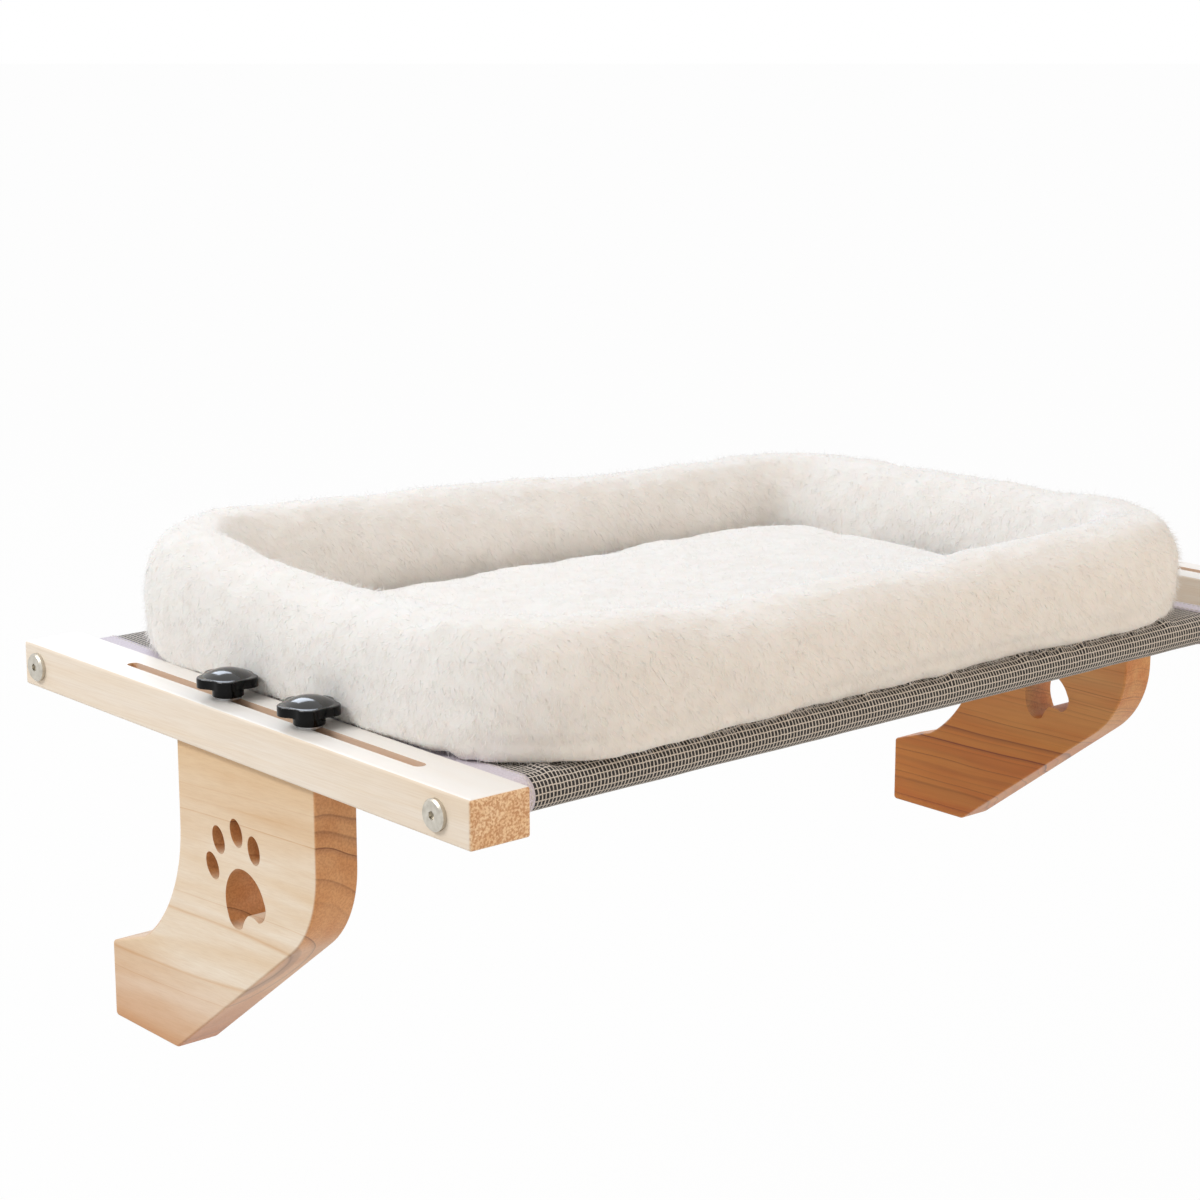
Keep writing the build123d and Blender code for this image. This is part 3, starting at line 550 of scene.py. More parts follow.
# %% The cloth's cross section
tube_box = {place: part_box(f"{place}_tube") for place in ("front", "rear")}
tube_centre = {place: ((lo[1] + hi[1]) / 2, (lo[2] + hi[2]) / 2) for place, (lo, hi) in tube_box.items()}
SLEEVE_RADIUS = 9.0 * MM
HEM_LENGTH = 31 * MM
CLOTH_SAG = 1.5 * MM
CLOTH_THICKNESS = 0.9 * MM


def sleeve_arc(centre, start_deg, end_deg, radius, step=1.6 * MM):
    """Points on a tube's sleeve from one angle to the other."""
    steps = max(2, round(abs(math.radians(end_deg - start_deg)) * radius / step))
    angles = [math.radians(start_deg + (end_deg - start_deg) * i / steps) for i in range(steps + 1)]
    return [(centre[0] + radius * math.cos(a), centre[1] + radius * math.sin(a)) for a in angles]


def between(a, b, step):
    """Points after a and up to b, about a step apart."""
    steps = max(1, round(math.dist(a, b) / step))
    return [(a[0] + (b[0] - a[0]) * i / steps, a[1] + (b[1] - a[1]) * i / steps) for i in range(1, steps + 1)]


def cloth_section():
    """The sheet's line from the front hem round both tubes to the rear hem."""
    front, rear = tube_centre["front"], tube_centre["rear"]
    top = SLEEVE_RADIUS
    hem_z = front[1] + top - CLOTH_SAG - CLOTH_THICKNESS - 0.2 * MM
    line = [(front[0] + HEM_LENGTH + 4 * MM, hem_z)]
    line += between(line[-1], (front[0] + HEM_LENGTH - 4 * MM, hem_z), 3 * MM)
    round_front = sleeve_arc(front, -50, -270, SLEEVE_RADIUS)
    line += between(line[-1], round_front[0], 4 * MM)[:-1] + round_front
    level = between(line[-1], (rear[0], rear[1] + top), 4 * MM)[:-1]
    middle = (front[0] + rear[0]) / 2
    half = (rear[0] - front[0]) / 2
    line += [(y, z - CLOTH_SAG * (1 - ((y - middle) / half) ** 2)) for y, z in level]
    round_rear = sleeve_arc(rear, 90, -130, SLEEVE_RADIUS)
    line += round_rear
    line += between(line[-1], (rear[0] - HEM_LENGTH + 4 * MM, hem_z), 4 * MM)
    line += between(line[-1], (rear[0] - HEM_LENGTH - 4 * MM, hem_z), 3 * MM)
    return line


section = cloth_section()
section_lengths = [0.0]
for a, b in zip(section, section[1:]):
    section_lengths.append(section_lengths[-1] + math.dist(a, b))

# %% [markdown]
# A helper turns any stretch of that section into a sheet. It is used for the mesh panel and for both
# binding tapes, so that tape and cloth follow the same curve. The tape stands a little proud. Two
# more helpers give the shapes on it and on the bed: a smooth hump, and soft waves from noise.

# %% Sheets along the perch
cloth_low, cloth_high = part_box("near_binding")[0][0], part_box("far_binding")[1][0]
TAPE_WIDTH = 15 * MM
TAPE_OVERHANG = 4 * MM
random.seed(41)
puckers = []
x = cloth_low + 30 * MM
while x < cloth_high - 20 * MM:
    height, width = random.uniform(1.6, 4.8) * MM, random.uniform(2.0, 4.5) * MM
    reach, sleeve = random.uniform(12, 28) * MM, random.choice(("front", "front", "rear"))
    puckers.append((x, height, width, reach, sleeve))
    x += random.uniform(12, 34) * MM


def hump(distance, width):
    """A smooth hump: 1 in its middle and almost 0 two widths away."""
    return math.exp(-(distance / width) ** 2)


def waves(x, y, per_metre, layer):
    """Soft waves between about -1 and 1. Each layer has waves of its own."""
    return noise.noise(Vector((x * per_metre, y * per_metre, layer)))


def pucker_height(x, y):
    """How far the gathered seam lifts the cloth at a point."""
    lift = 0.0
    for middle, height, width, reach, sleeve in puckers:
        inwards = (y - tube_centre[sleeve][0]) * (1 if sleeve == "front" else -1)
        # Nothing is left of a pucker three widths beside it or beyond its own tube
        if abs(x - middle) <= 3 * width and inwards >= -SLEEVE_RADIUS:
            lift += height * hump(x - middle, width) * hump(inwards - 5 * MM, reach)
    return lift


def sheet_along(name, x_start, x_end, thickness, material, x_step=4 * MM, lumpy=True):
    """A sheet with the cloth's section between two places along the perch."""
    columns = max(2, round((x_end - x_start) / x_step)) + 1
    xs = [x_start + (x_end - x_start) * i / (columns - 1) for i in range(columns)]
    points = []
    for k, (y, z) in enumerate(section):
        before, after = section[max(0, k - 1)], section[min(len(section) - 1, k + 1)]
        along = Vector((after[0] - before[0], after[1] - before[1])).normalized()
        outwards = Vector((-along[1], along[0]))
        points.append((y, z, outwards))
    verts, faces = [], []
    for y, z, outwards in points:
        for x in xs:
            lift = pucker_height(x, y) * outwards[1] ** 2 if lumpy and outwards[1] > 0.1 else 0.0
            soft = 0.25 * MM * waves(x, y, 40, 3.1) if lumpy else 0.0
            shift = lift + soft
            verts.append((x, y + outwards[0] * shift, z + outwards[1] * shift))
    for k in range(len(points) - 1):
        for i in range(columns - 1):
            a = k * columns + i
            faces.append((a, a + 1, a + columns + 1, a + columns))
    mesh = bpy.data.meshes.new(name)
    mesh.from_pydata(verts, [], faces)
    uv = mesh.uv_layers.new(name="cloth_mm")
    for loop in mesh.loops:
        k, i = divmod(loop.vertex_index, columns)
        uv.data[loop.index].uv = (xs[i] / MM, section_lengths[k] / MM)
    shade_smooth(mesh)
    piece = in_scene(name, mesh)
    wall = piece.modifiers.new("thickness", "SOLIDIFY")
    wall.thickness = thickness
    wall.offset = 0
    mesh.materials.append(material)
    return piece


hammock = sheet_along("hammock_mesh_panel", cloth_low + TAPE_OVERHANG, cloth_high - TAPE_OVERHANG,
                      CLOTH_THICKNESS, mesh_cloth)
bindings = {}
for end, start in (("near", cloth_low), ("far", cloth_high - TAPE_WIDTH)):
    bindings[end] = sheet_along(f"hammock_{end}_binding", start, start + TAPE_WIDTH,
                                CLOTH_THICKNESS + 1.0 * MM, tape, x_step=3 * MM, lumpy=False)
print("panel faces", len(hammock.data.polygons), "puckers", len(puckers))

# %% [markdown]
# The bed's bolster is a tube of filling bent into a ring. Its section is wide at a third of its
# height and round at the crown. In the picture the near end stands taller than the far end, and the
# long sides dip between the corners. A ring of sections follows that: each place round the ring has
# its own height and width, so the form is a rule and not a stack of blocks.

# %% The bolster's ring of sections
bed_low, bed_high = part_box("bed_bolster")
# The swelling and the pile push the far end outwards, so its ring starts this much further in
SWELL_ROOM = 7 * MM
bed_high[0] -= SWELL_ROOM
bed_middle = ((bed_low[0] + bed_high[0]) / 2, (bed_low[1] + bed_high[1]) / 2)
bed_half = ((bed_high[0] - bed_low[0]) / 2, (bed_high[1] - bed_low[1]) / 2)
BOLSTER_THICKNESS = 62 * MM
BOLSTER_CORNER = 80 * MM
FOOT_Z = bed_low[2]
RING_PLACES, SECTION_POINTS = 300, 44
# The section's corners: outwards in half thicknesses, upwards in heights
crown_control = [(0.90, 0.0), (0.99, 0.12), (1.0, 0.36), (0.96, 0.60), (0.80, 0.82), (0.48, 0.96),
                 (0.08, 1.0), (-0.32, 0.94), (-0.62, 0.78), (-0.82, 0.53), (-0.90, 0.26), (-0.82, 0.06),
                 (-0.70, 0.0), (-0.25, 0.0), (0.25, 0.0)]


def smooth_closed(points, count):
    """Points of a closed curve that passes smoothly through the given ones."""
    dense = []
    n = len(points)
    steps = 8
    for k in range(n):
        p0, p1, p2, p3 = (Vector(points[(k + d) % n]) for d in (-1, 0, 1, 2))
        for s in range(steps):
            t = s / steps
            dense.append(0.5 * ((2 * p1) + (p2 - p0) * t + (2 * p0 - 5 * p1 + 4 * p2 - p3) * t * t
                                + (3 * p1 - p0 - 3 * p2 + p3) * t ** 3))
    lengths = [0.0]
    for a, b in zip(dense, dense[1:] + dense[:1]):
        lengths.append(lengths[-1] + (b - a).length)
    out = []
    for i in range(count):
        target = lengths[-1] * i / count
        k = max(j for j in range(len(dense)) if lengths[j] <= target)
        a, b = dense[k], dense[(k + 1) % len(dense)]
        share = (target - lengths[k]) / max(1e-9, lengths[k + 1] - lengths[k])
        out.append(a + (b - a) * share)
    return out


def ring_path(count):
    """Places round the bolster's middle line, each with its outward direction."""
    half = BOLSTER_THICKNESS / 2
    run = (bed_half[0] - BOLSTER_CORNER, bed_half[1] - BOLSTER_CORNER)
    radius = BOLSTER_CORNER - half
    quarter = radius * math.pi / 2
    legs = [("x", 2 * run[0]), ("c", quarter), ("y", 2 * run[1]), ("c", quarter)] * 2
    total = sum(length for _, length in legs)
    out = []
    for i in range(count):
        s = total * i / count
        for k, (kind, length) in enumerate(legs):
            if s <= length or k == len(legs) - 1:
                break
            s -= length
        side = k // 2
        # The four sides in order: front, far, rear, near, each met by a corner after it
        direction = [Vector((0, -1)), Vector((1, 0)), Vector((0, 1)), Vector((-1, 0))][side]
        forward = Vector((-direction[1], direction[0]))
        run_here = run[0] if side % 2 == 0 else run[1]
        run_there = run[1] if side % 2 == 0 else run[0]
        if kind != "c":
            place = direction * (run_there + radius) + forward * (s - run_here)
            outward = direction
        else:
            angle = s / radius
            outward = direction * math.cos(angle) + forward * math.sin(angle)
            place = direction * run_there + forward * run_here + outward * radius
        out.append((Vector((place[0] + bed_middle[0], place[1] + bed_middle[1])), outward))
    return out


def crown_height(x, y):
    """The bolster's height above its foot: tall near corners, low sides, lowest at the far end."""
    along = (x - bed_low[0]) / (bed_high[0] - bed_low[0])
    across = (y - bed_middle[1]) / bed_half[1]
    # In millimetres: a long side's plain height, then what its corners add
    front = 60.0 + 13.0 * hump(along, 0.17) + 3.0 * hump(1 - along, 0.2)
    rear = 57.0 + 17.0 * hump(along, 0.55)
    share = 0.5 + 0.5 * max(-1.0, min(1.0, across * 1.2))
    height = front * (1 - share) + rear * share
    # The near end dips deep between its corners and the far end only a little
    height -= 15.0 * hump(along, 0.10) * hump(across, 0.6)
    height -= 2.0 * hump(1 - along, 0.12) * hump(across, 0.5)
    return (height + 1.6 * waves(x, y, 16, 1.7)) * MM


def bolster_mesh(name):
    """The bolster's skin before it is inflated."""
    section_points = smooth_closed(crown_control, SECTION_POINTS)
    verts, faces = [], []
    for middle, outward in ring_path(RING_PLACES):
        height = crown_height(*middle)
        # The filling is uneven: the ring's width changes by 5 per cent and its crown leans by 3 mm
        width = BOLSTER_THICKNESS / 2 * (1 + 0.05 * waves(*middle, 11, 5.3))
        drawn = 3 * MM * waves(*middle, 7, 9.3)
        for p in section_points:
            at = middle + outward * (p[0] * width + drawn * p[1])
            verts.append((at[0], at[1], FOOT_Z + max(0.0, p[1]) * height))
    for k in range(RING_PLACES):
        here, there = k * SECTION_POINTS, (k + 1) % RING_PLACES * SECTION_POINTS
        for j in range(SECTION_POINTS):
            after = (j + 1) % SECTION_POINTS
            faces.append((here + j, here + after, there + after, there + j))
    mesh = bpy.data.meshes.new(name)
    mesh.from_pydata(verts, [], faces)
    return mesh


print("bolster ring starts at", ring_path(RING_PLACES)[0])

# %% [markdown]
# The skin is then inflated as a cloth, the way a stuffed cover swells. A copy is remeshed into even
# cells, because cloth moves best when its cells are equal. Pressure pushes the copy outwards from
# inside, gravity stays off, and a little spare cloth lets it wrinkle. A cap on how far any point may
# go keeps the form that the photograph shows. Modelling every wrinkle by hand would look less soft.

# %% Inflate a stuffed cover
SWELL_FRAMES = 20


def inflate(cover, name, voxel, pressure, slack, cap, lowest):
    """A copy of the cover, swollen by a short cloth simulation and made a plain mesh."""
    start = in_scene(name, cover)
    cells = start.modifiers.new("even cells", "REMESH")
    cells.mode = "VOXEL"
    cells.voxel_size = voxel
    even = finished_mesh(start)
    bpy.data.objects.remove(start)
    piece = in_scene(name, even)
    rest = point_rows(even)
    cloth = piece.modifiers.new("stuffing", "CLOTH")
    settings = cloth.settings
    settings.quality = 5
    settings.mass = 0.2
    settings.tension_stiffness = settings.compression_stiffness = 12
    settings.shear_stiffness = 6
    settings.bending_stiffness = 0.4
    settings.use_pressure = True
    settings.uniform_pressure_force = pressure
    settings.shrink_min = -slack
    settings.effector_weights.gravity = 0
    cloth.point_cache.frame_end = SWELL_FRAMES
    scene = bpy.context.scene
    for step in range(1, SWELL_FRAMES + 1):
        scene.frame_set(step)
    moved = finished_mesh(piece)
    swollen = point_rows(moved)
    piece.modifiers.clear()
    bpy.data.meshes.remove(moved)
    scene.frame_set(1)
    travel = swollen - rest
    length = np.linalg.norm(travel, axis=1)
    # The cap is met smoothly: short moves stay as they are and long ones come close to it
    limited = cap * np.tanh(length / cap) / np.maximum(length, 1e-9)
    ready = rest + travel * limited[:, None]
    ready[:, 2] = np.maximum(ready[:, 2], lowest)
    even.vertices.foreach_set("co", ready.reshape(-1))
    shade_smooth(even)
    print(name, "cells", len(even.polygons), "largest move mm", round(float(length.max()) / MM, 1))
    return piece


bolster = inflate(bolster_mesh("plush_bolster"), "plush_bolster", voxel=5 * MM, pressure=1.6, slack=0.03,
                  cap=5 * MM, lowest=FOOT_Z)

# %% [markdown]
# The pad in the middle of the bed is a thin cushion. It is crowned, its sides pull in between its
# corners, and it is flat only underneath, where it lies on the cloth. It starts from a few drawn-in
# layers and is inflated in the same way.

# %% The floor pad
pad_low, pad_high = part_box("bed_floor_pad")
PAD_MIDDLE = ((pad_low[0] + pad_high[0]) / 2, (pad_low[1] + pad_high[1]) / 2)
PAD_HALF = ((pad_high[0] - pad_low[0]) / 2, (pad_high[1] - pad_low[1]) / 2)


def pad_mesh(name, around=160):
    """A crowned cushion as rings of points from its underside to its middle."""
    # Each layer's share of the pad's width and of its height, from the foot to the crown
    layers = [(0.90, 0.0), (0.975, 0.16), (1.0, 0.36), (0.975, 0.58), (0.90, 0.78), (0.74, 0.90),
              (0.50, 0.97), (0.25, 1.0)]
    squareness = 7
    height = pad_high[2] - pad_low[2]
    verts, faces = [(PAD_MIDDLE[0], PAD_MIDDLE[1], pad_low[2])], []
    for share, rise in layers:
        for k in range(around):
            angle = 2 * math.pi * k / around
            c, s = math.cos(angle), math.sin(angle)
            reach = (abs(c) ** squareness + abs(s) ** squareness) ** (-1 / squareness)
            pull = 1 - 0.035 * (math.cos(2 * angle) ** 2)
            verts.append((PAD_MIDDLE[0] + PAD_HALF[0] * share * reach * c * pull,
                          PAD_MIDDLE[1] + PAD_HALF[1] * share * reach * s * pull, pad_low[2] + rise * height))
    verts.append((PAD_MIDDLE[0], PAD_MIDDLE[1], pad_low[2] + height))
    for k in range(around):
        after = (k + 1) % around
        faces.append((0, 1 + after, 1 + k))
        for ring in range(len(layers) - 1):
            a, b = 1 + ring * around + k, 1 + ring * around + after
            faces.append((a, b, b + around, a + around))
        last = 1 + (len(layers) - 1) * around
        faces.append((last + k, last + after, len(verts) - 1))
    mesh = bpy.data.meshes.new(name)
    mesh.from_pydata(verts, [], faces)
    return mesh


floor_pad = inflate(pad_mesh("plush_floor_pad"), "plush_floor_pad", voxel=5 * MM, pressure=2.0, slack=0.03,
                    cap=6 * MM, lowest=pad_low[2])

# %% [markdown]
# Plush has a pile, and its clumps show on the outline as a soft uneven edge. One subdivision gives
# enough points to push the surface in and out by half a millimetre or so in small patches. The
# bolster's cover has a seam a finger's width above its foot, which draws a faint crease round it.

# %% Clumps in the pile
# Heights, and how many a metre holds
CLUMPS = ((0.7 * MM, 95), (0.25 * MM, 210), (1.8 * MM, 28))
# In millimetres
SEAM_HEIGHT, SEAM_WIDTH = 11, 3.0


def raise_clumps(piece, material, lowest, crease=0.0):
    """Subdivides a plush piece once, lifts its pile in clumps and draws in a seam above its foot."""
    finer = piece.modifiers.new("finer", "SUBSURF")
    finer.levels = finer.render_levels = 1
    mesh = finished_mesh(piece)
    piece.modifiers.clear()
    piece.data = mesh
    at, normals = point_rows(mesh), point_rows(mesh, "normal")
    lift = np.empty(len(at))
    for i, p in enumerate(at):
        lift[i] = sum(height * noise.noise(Vector(p) * per_metre) for height, per_metre in CLUMPS)
        above_seam = (p[2] - lowest) / MM - SEAM_HEIGHT
        # The crease is drawn where the surface looks to the front
        lift[i] -= crease * hump(above_seam, SEAM_WIDTH) * max(0.0, -normals[i][1])
    at = at + normals * lift[:, None]
    at[:, 2] = np.maximum(at[:, 2], lowest)
    mesh.vertices.foreach_set("co", at.reshape(-1))
    shade_smooth(mesh)
    mesh.materials.clear()
    mesh.materials.append(material)
    print(piece.name, "points", len(at))


raise_clumps(bolster, plush, FOOT_Z, crease=1.3 * MM)
raise_clumps(floor_pad, plush, pad_low[2])

# %% [markdown]
# Single tufts stand out of the plush where it turns away from the eye, and they make its edge look
# soft. Tens of thousands are needed, so Geometry Nodes scatter them: points on the skin, a thin cone
# on each, leaning with the nap and a little at random. Hair particles would not reach the export.

# %% A tree that scatters tufts
def tuft_tree(material):
    """Scatters cones over a mesh. Density is per square metre, lengths are in metres."""
    tree = bpy.data.node_groups.new("plush_tufts", "GeometryNodeTree")
    tree.interface.new_socket("Geometry", in_out="INPUT", socket_type="NodeSocketGeometry")
    for name in ("Density", "Tuft Length", "Tuft Radius", "Lowest"):
        tree.interface.new_socket(name, in_out="INPUT", socket_type="NodeSocketFloat")
    tree.interface.new_socket("Seed", in_out="INPUT", socket_type="NodeSocketInt")
    tree.interface.new_socket("Geometry", in_out="OUTPUT", socket_type="NodeSocketGeometry")
    given = add(tree, "NodeGroupInput").outputs
    position = add(tree, "GeometryNodeInputPosition").outputs[0]
    height = add(tree, "ShaderNodeSeparateXYZ", {0: position}).outputs["Z"]
    above = add(tree, "FunctionNodeCompare", {"A": height, "B": given["Lowest"]}, data_type="FLOAT",
                operation="GREATER_THAN").outputs[0]
    points = add(tree, "GeometryNodeDistributePointsOnFaces",
                 {"Mesh": given["Geometry"], "Selection": above, "Density": given["Density"],
                  "Seed": given["Seed"]})
    stray = add(tree, "FunctionNodeRandomValue",
                {"Seed": given["Seed"], 0: (-0.5, -0.5, -0.5), 1: (0.5, 0.5, 0.5)},
                data_type="FLOAT_VECTOR").outputs[0]
    nap = add(tree, "ShaderNodeVectorMath", {0: stray, 1: (0.25, 0.0, -0.65)}, operation="ADD").outputs[0]
    upright = add(tree, "ShaderNodeVectorMath", {0: points.outputs["Normal"], 1: (0.58, 0.58, 0.58)},
                  operation="MULTIPLY").outputs[0]
    lean = add(tree, "ShaderNodeVectorMath", {0: upright, 1: nap}, operation="ADD").outputs[0]
    turn = add(tree, "FunctionNodeAlignRotationToVector", {"Vector": lean}, axis="Z").outputs[0]
    cone = add(tree, "GeometryNodeMeshCone",
               {"Radius Bottom": given["Tuft Radius"], "Depth": given["Tuft Length"]},
               fill_type="NONE", Vertices=3, Radius_Top=0.0).outputs["Mesh"]
    size = add(tree, "FunctionNodeRandomValue", {"Seed": given["Seed"], 2: 0.5, 3: 1.15},
               data_type="FLOAT").outputs[1]
    tufts = add(tree, "GeometryNodeInstanceOnPoints",
                {"Points": points.outputs["Points"], "Instance": cone, "Rotation": turn,
                 "Scale": size}).outputs[0]
    solid = add(tree, "GeometryNodeRealizeInstances", {0: tufts}).outputs[0]
    finished = add(tree, "GeometryNodeSetMaterial", {"Geometry": solid, "Material": material}).outputs[0]
    add(tree, "NodeGroupOutput", {"Geometry": finished})
    return tree


def run_tree(tree, source, name, **sizes):
    """Runs a tree on a copy of a mesh and returns the result as a plain mesh piece."""
    carrier = in_scene(name, source.copy())
    modifier = carrier.modifiers.new("tree", "NODES")
    modifier.node_group = tree
    for item in tree.interface.items_tree:
        size = item.name.replace(" ", "_").lower()
        if item.in_out == "INPUT" and size in sizes:
            modifier[item.identifier] = sizes[size]
    mesh = finished_mesh(carrier)
    bpy.data.objects.remove(carrier)
    piece = in_scene(name, mesh)
    print(name, "faces", len(mesh.polygons))
    return piece


tufts = tuft_tree(tuft_fibre)
bolster_tufts = run_tree(tufts, bolster.data, "plush_bolster_tufts", density=190000.0, tuft_length=0.0050,
                         tuft_radius=0.00015, lowest=FOOT_Z + 1.0 * MM, seed=7)
pad_tufts = run_tree(tufts, floor_pad.data, "plush_floor_pad_tufts", density=150000.0, tuft_length=0.0040,
                     tuft_radius=0.00015, lowest=pad_low[2] + 6 * MM, seed=8)

# %% [markdown]
# Seams hold the sleeves and the tapes. A lockstitch shows as a row of short raised threads with gaps
# between. Each seam is a curve on the cloth, and a second tree sets one thread on every point of it.

# %% A tree that sews along a curve
def stitch_tree(material):
    """Sets short threads along a curve, in metres."""
    tree = bpy.data.node_groups.new("lockstitch", "GeometryNodeTree")
    tree.interface.new_socket("Geometry", in_out="INPUT", socket_type="NodeSocketGeometry")
    for name in ("Pitch", "Thread Length", "Thread Radius"):
        tree.interface.new_socket(name, in_out="INPUT", socket_type="NodeSocketFloat")
    tree.interface.new_socket("Geometry", in_out="OUTPUT", socket_type="NodeSocketGeometry")
    given = add(tree, "NodeGroupInput").outputs
    seam = add(tree, "GeometryNodeMeshToCurve", {"Mesh": given["Geometry"]}).outputs[0]
    points = add(tree, "GeometryNodeCurveToPoints", {"Curve": seam, "Length": given["Pitch"]}, mode="LENGTH")
    turn = add(tree, "FunctionNodeAlignRotationToVector", {"Vector": points.outputs["Tangent"]},
               axis="Z").outputs[0]
    bead = add(tree, "GeometryNodeMeshUVSphere", Segments=6, Rings=4, Radius=1.0).outputs["Mesh"]
    half = add(tree, "ShaderNodeMath", {0: given["Thread Length"], 1: 0.5}, operation="MULTIPLY").outputs[0]
    slim = add(tree, "ShaderNodeCombineXYZ",
               {"X": given["Thread Radius"], "Y": given["Thread Radius"], "Z": half}).outputs[0]
    threads = add(tree, "GeometryNodeInstanceOnPoints",
                  {"Points": points.outputs["Points"], "Instance": bead, "Rotation": turn,
                   "Scale": slim}).outputs[0]
    solid = add(tree, "GeometryNodeRealizeInstances", {0: threads}).outputs[0]
    finished = add(tree, "GeometryNodeSetMaterial", {"Geometry": solid, "Material": material}).outputs[0]
    add(tree, "NodeGroupOutput", {"Geometry": finished})
    return tree


def seam_lines(name, lines):
    """A mesh of loose edges that follows each line of points."""
    verts, edges = [], []
    for line in lines:
        start = len(verts)
        verts += line
        edges += [(start + i, start + i + 1) for i in range(len(line) - 1)]
    mesh = bpy.data.meshes.new(name)
    mesh.from_pydata(verts, edges, [])
    return mesh


TAPE_SKIN = CLOTH_THICKNESS / 2 + 0.55 * MM
OUTER_SEAM, INNER_SEAM = 2.5 * MM, TAPE_WIDTH - 2 * MM
HEM_POINTS_UNSEWN = 8
HEM_SEAM_STEP = 4 * MM
sewn = []
for x in (cloth_low + OUTER_SEAM, cloth_low + INNER_SEAM, cloth_high - INNER_SEAM, cloth_high - OUTER_SEAM):
    line = []
    for k in range(HEM_POINTS_UNSEWN, len(section) - HEM_POINTS_UNSEWN):
        (y, z), before, after = section[k], section[k - 1], section[k + 1]
        along = Vector((after[0] - before[0], after[1] - before[1])).normalized()
        line.append((x, y - along[1] * TAPE_SKIN, z + along[0] * TAPE_SKIN))
    sewn.append(line)
hem_seam_points = int((cloth_high - cloth_low - 2 * TAPE_WIDTH) / HEM_SEAM_STEP)
for place, inwards in (("front", 1), ("rear", -1)):
    under = tube_centre[place][1] + SLEEVE_RADIUS - CLOTH_SAG - 1.6 * CLOTH_THICKNESS - 0.3 * MM
    for reach in (HEM_LENGTH, HEM_LENGTH - 5 * MM):
        y = tube_centre[place][0] + inwards * reach
        sewn.append([(cloth_low + TAPE_WIDTH + i * HEM_SEAM_STEP, y, under) for i in range(hem_seam_points)])
stitches = run_tree(stitch_tree(sewing_thread), seam_lines("seams", sewn), "hammock_stitches", pitch=0.0034,
                    thread_length=0.0026, thread_radius=0.00035)

# %% [markdown]
# Every piece rides on a CAD body, so it moves with it in other poses. The cloth and the bed stay with
# the frame.

# %% Place the pieces on their bodies
for piece in (hammock, bindings["near"], bindings["far"], bolster, floor_pad, bolster_tufts, pad_tufts,
              stitches):
    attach(piece, "frame")
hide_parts("hammock_panel")
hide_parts("near_binding")
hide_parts("far_binding")
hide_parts("bed_bolster")
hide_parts("bed_floor_pad")
print("pieces placed")

# %% [markdown]
# The perch was photographed against plain white. The backdrop colour comes from the world, and only
# for camera, glossy and transmission rays, so it adds no light to the object. The floor is pale and
# lies well below the feet.

# %% Floor and world
def plain_world():
    """A white surround to look at, with a lower level of light behind it."""
    world = bpy.data.worlds.new("studio")
    world.use_nodes = True
    tree = world.node_tree
    tree.nodes.clear()
    rays = add(tree, "ShaderNodeLightPath").outputs
    mirrored = add(tree, "ShaderNodeMath", {0: rays["Is Glossy Ray"], 1: rays["Is Transmission Ray"]},
                   operation="MAXIMUM").outputs[0]
    seen = add(tree, "ShaderNodeMath", {0: rays["Is Camera Ray"], 1: mirrored},
               operation="MAXIMUM").outputs[0]
    light = add(tree, "ShaderNodeBackground", Color=linear("#FFFFFF"), Strength=0.6)
    white = add(tree, "ShaderNodeBackground", Color=linear("#FFFFFF"), Strength=1.0)
    mix = add(tree, "ShaderNodeMixShader", {0: seen, 1: light.outputs[0], 2: white.outputs[0]})
    add(tree, "ShaderNodeOutputWorld", {"Surface": mix.outputs[0]})
    bpy.context.scene.world = world


plain_world()
floor_mesh = bpy.data.meshes.new("studio_floor")
# In metres, so wide that no edge comes into view
FLOOR_Z, FLOOR_HALF = -0.42, 80.0
floor_corners = [(x * FLOOR_HALF, y * FLOOR_HALF, FLOOR_Z) for x, y in ((-1, -1), (1, -1), (1, 1), (-1, 1))]
floor_mesh.from_pydata(floor_corners, [], [(0, 1, 2, 3)])
floor = in_scene("studio_floor", floor_mesh)


def paper_floor():
    """Pale paper that the camera sees as near white, and that bounces only a plain amount of light."""
    material, tree = new_material("paper_floor_pale")
    rays = add(tree, "ShaderNodeLightPath").outputs
    seen = add(tree, "ShaderNodeMath", {0: rays["Is Camera Ray"], 1: rays["Is Glossy Ray"]},
               operation="MAXIMUM").outputs[0]
    # A little of the paper's own shade is kept, so the perch casts a soft shadow on it
    mostly = add(tree, "ShaderNodeMath", {0: seen, 1: 0.97}, operation="MULTIPLY").outputs[0]
    matt = add(tree, "ShaderNodeBsdfDiffuse", Color=linear("#DAD8D4"))
    bright = add(tree, "ShaderNodeEmission", Color=linear("#FFFFFF"), Strength=1.0)
    mix = add(tree, "ShaderNodeMixShader", {0: mostly, 1: matt.outputs[0], 2: bright.outputs[0]})
    add(tree, "ShaderNodeOutputMaterial", {"Surface": mix.outputs[0]})
    return material


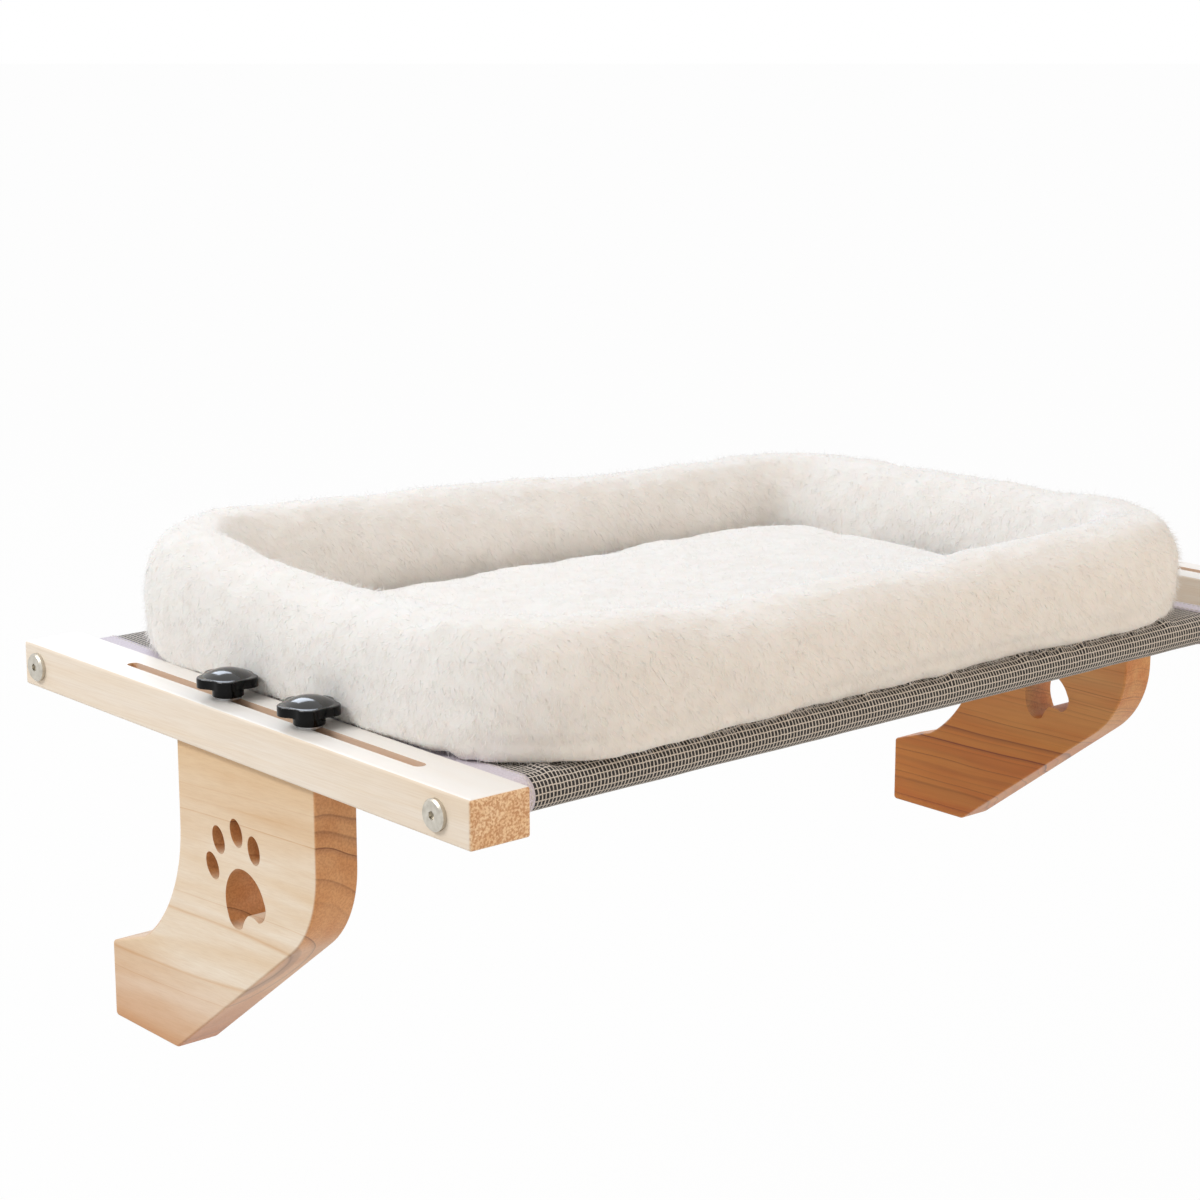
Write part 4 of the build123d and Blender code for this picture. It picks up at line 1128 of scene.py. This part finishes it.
floor_mesh.materials.append(paper_floor())
print("floor at mm", FLOOR_Z / MM)

# %% [markdown]
# Large lamps near the object give the soft light of the picture: one on the near side, which lights
# the rail's outer face, a weaker and warmer one in front, and one behind that rims the plush.

# %% Studio lamps
def soft_lamp(name, at, towards, size, watts, colour="#FFFFFF"):
    """A large lamp, size metres wide and high, aimed at a point."""
    data = bpy.data.lights.new(name, "AREA")
    data.shape = "RECTANGLE"
    data.size, data.size_y = size
    data.energy = watts
    data.color = linear(colour)[:3]
    lamp = in_scene(name, data)
    aim = (Vector(towards) - Vector(at)).to_track_quat("-Z", "Y").to_matrix().to_4x4()
    lamp.matrix_world = Matrix.Translation(at) @ aim


soft_lamp("near_side_lamp", (-1.9, 0.45, 1.6), (0, 0, 0), (1.6, 0.45), 26)
soft_lamp("front_lamp", (0.7, -2.4, 0.65), (0, 0, 0), (1.8, 1.8), 19, "#FFDFB8")
soft_lamp("window_lamp", (0.8, 2.0, 1.9), (0, 0, 0.05), (1.2, 1.2), 25, "#E6F0FF")

# %% [markdown]
# The camera stands where the photograph was taken: nearly level, looking down by about thirteen
# degrees, from in front of the near end. Its place and lens come from matching known points.

# %% Camera
PICTURE_PIXELS, FOCAL_PIXELS = 1200, 2693.73
SENSOR_WIDTH = 36.0
CAMERA_PLACE = (-1.06358, -1.18975, 0.38611)
TILT_DOWN, HEADING = 12.77, 49.18


def photo_camera():
    """The photograph's viewpoint on a square frame."""
    data = bpy.data.cameras.new("photo_camera")
    data.sensor_width = SENSOR_WIDTH
    data.lens = SENSOR_WIDTH * FOCAL_PIXELS / PICTURE_PIXELS
    data.clip_start, data.clip_end = 0.05, 30
    camera = in_scene("photo_camera", data)
    camera.location = CAMERA_PLACE
    camera.rotation_euler = (math.radians(90 - TILT_DOWN), 0, math.radians(HEADING - 90))
    bpy.context.scene.camera = camera
    return camera


camera = photo_camera()
bpy.context.scene.view_settings.view_transform = "Standard"
print("camera", [round(c, 3) for c in camera.location], "lens", round(camera.data.lens, 2))
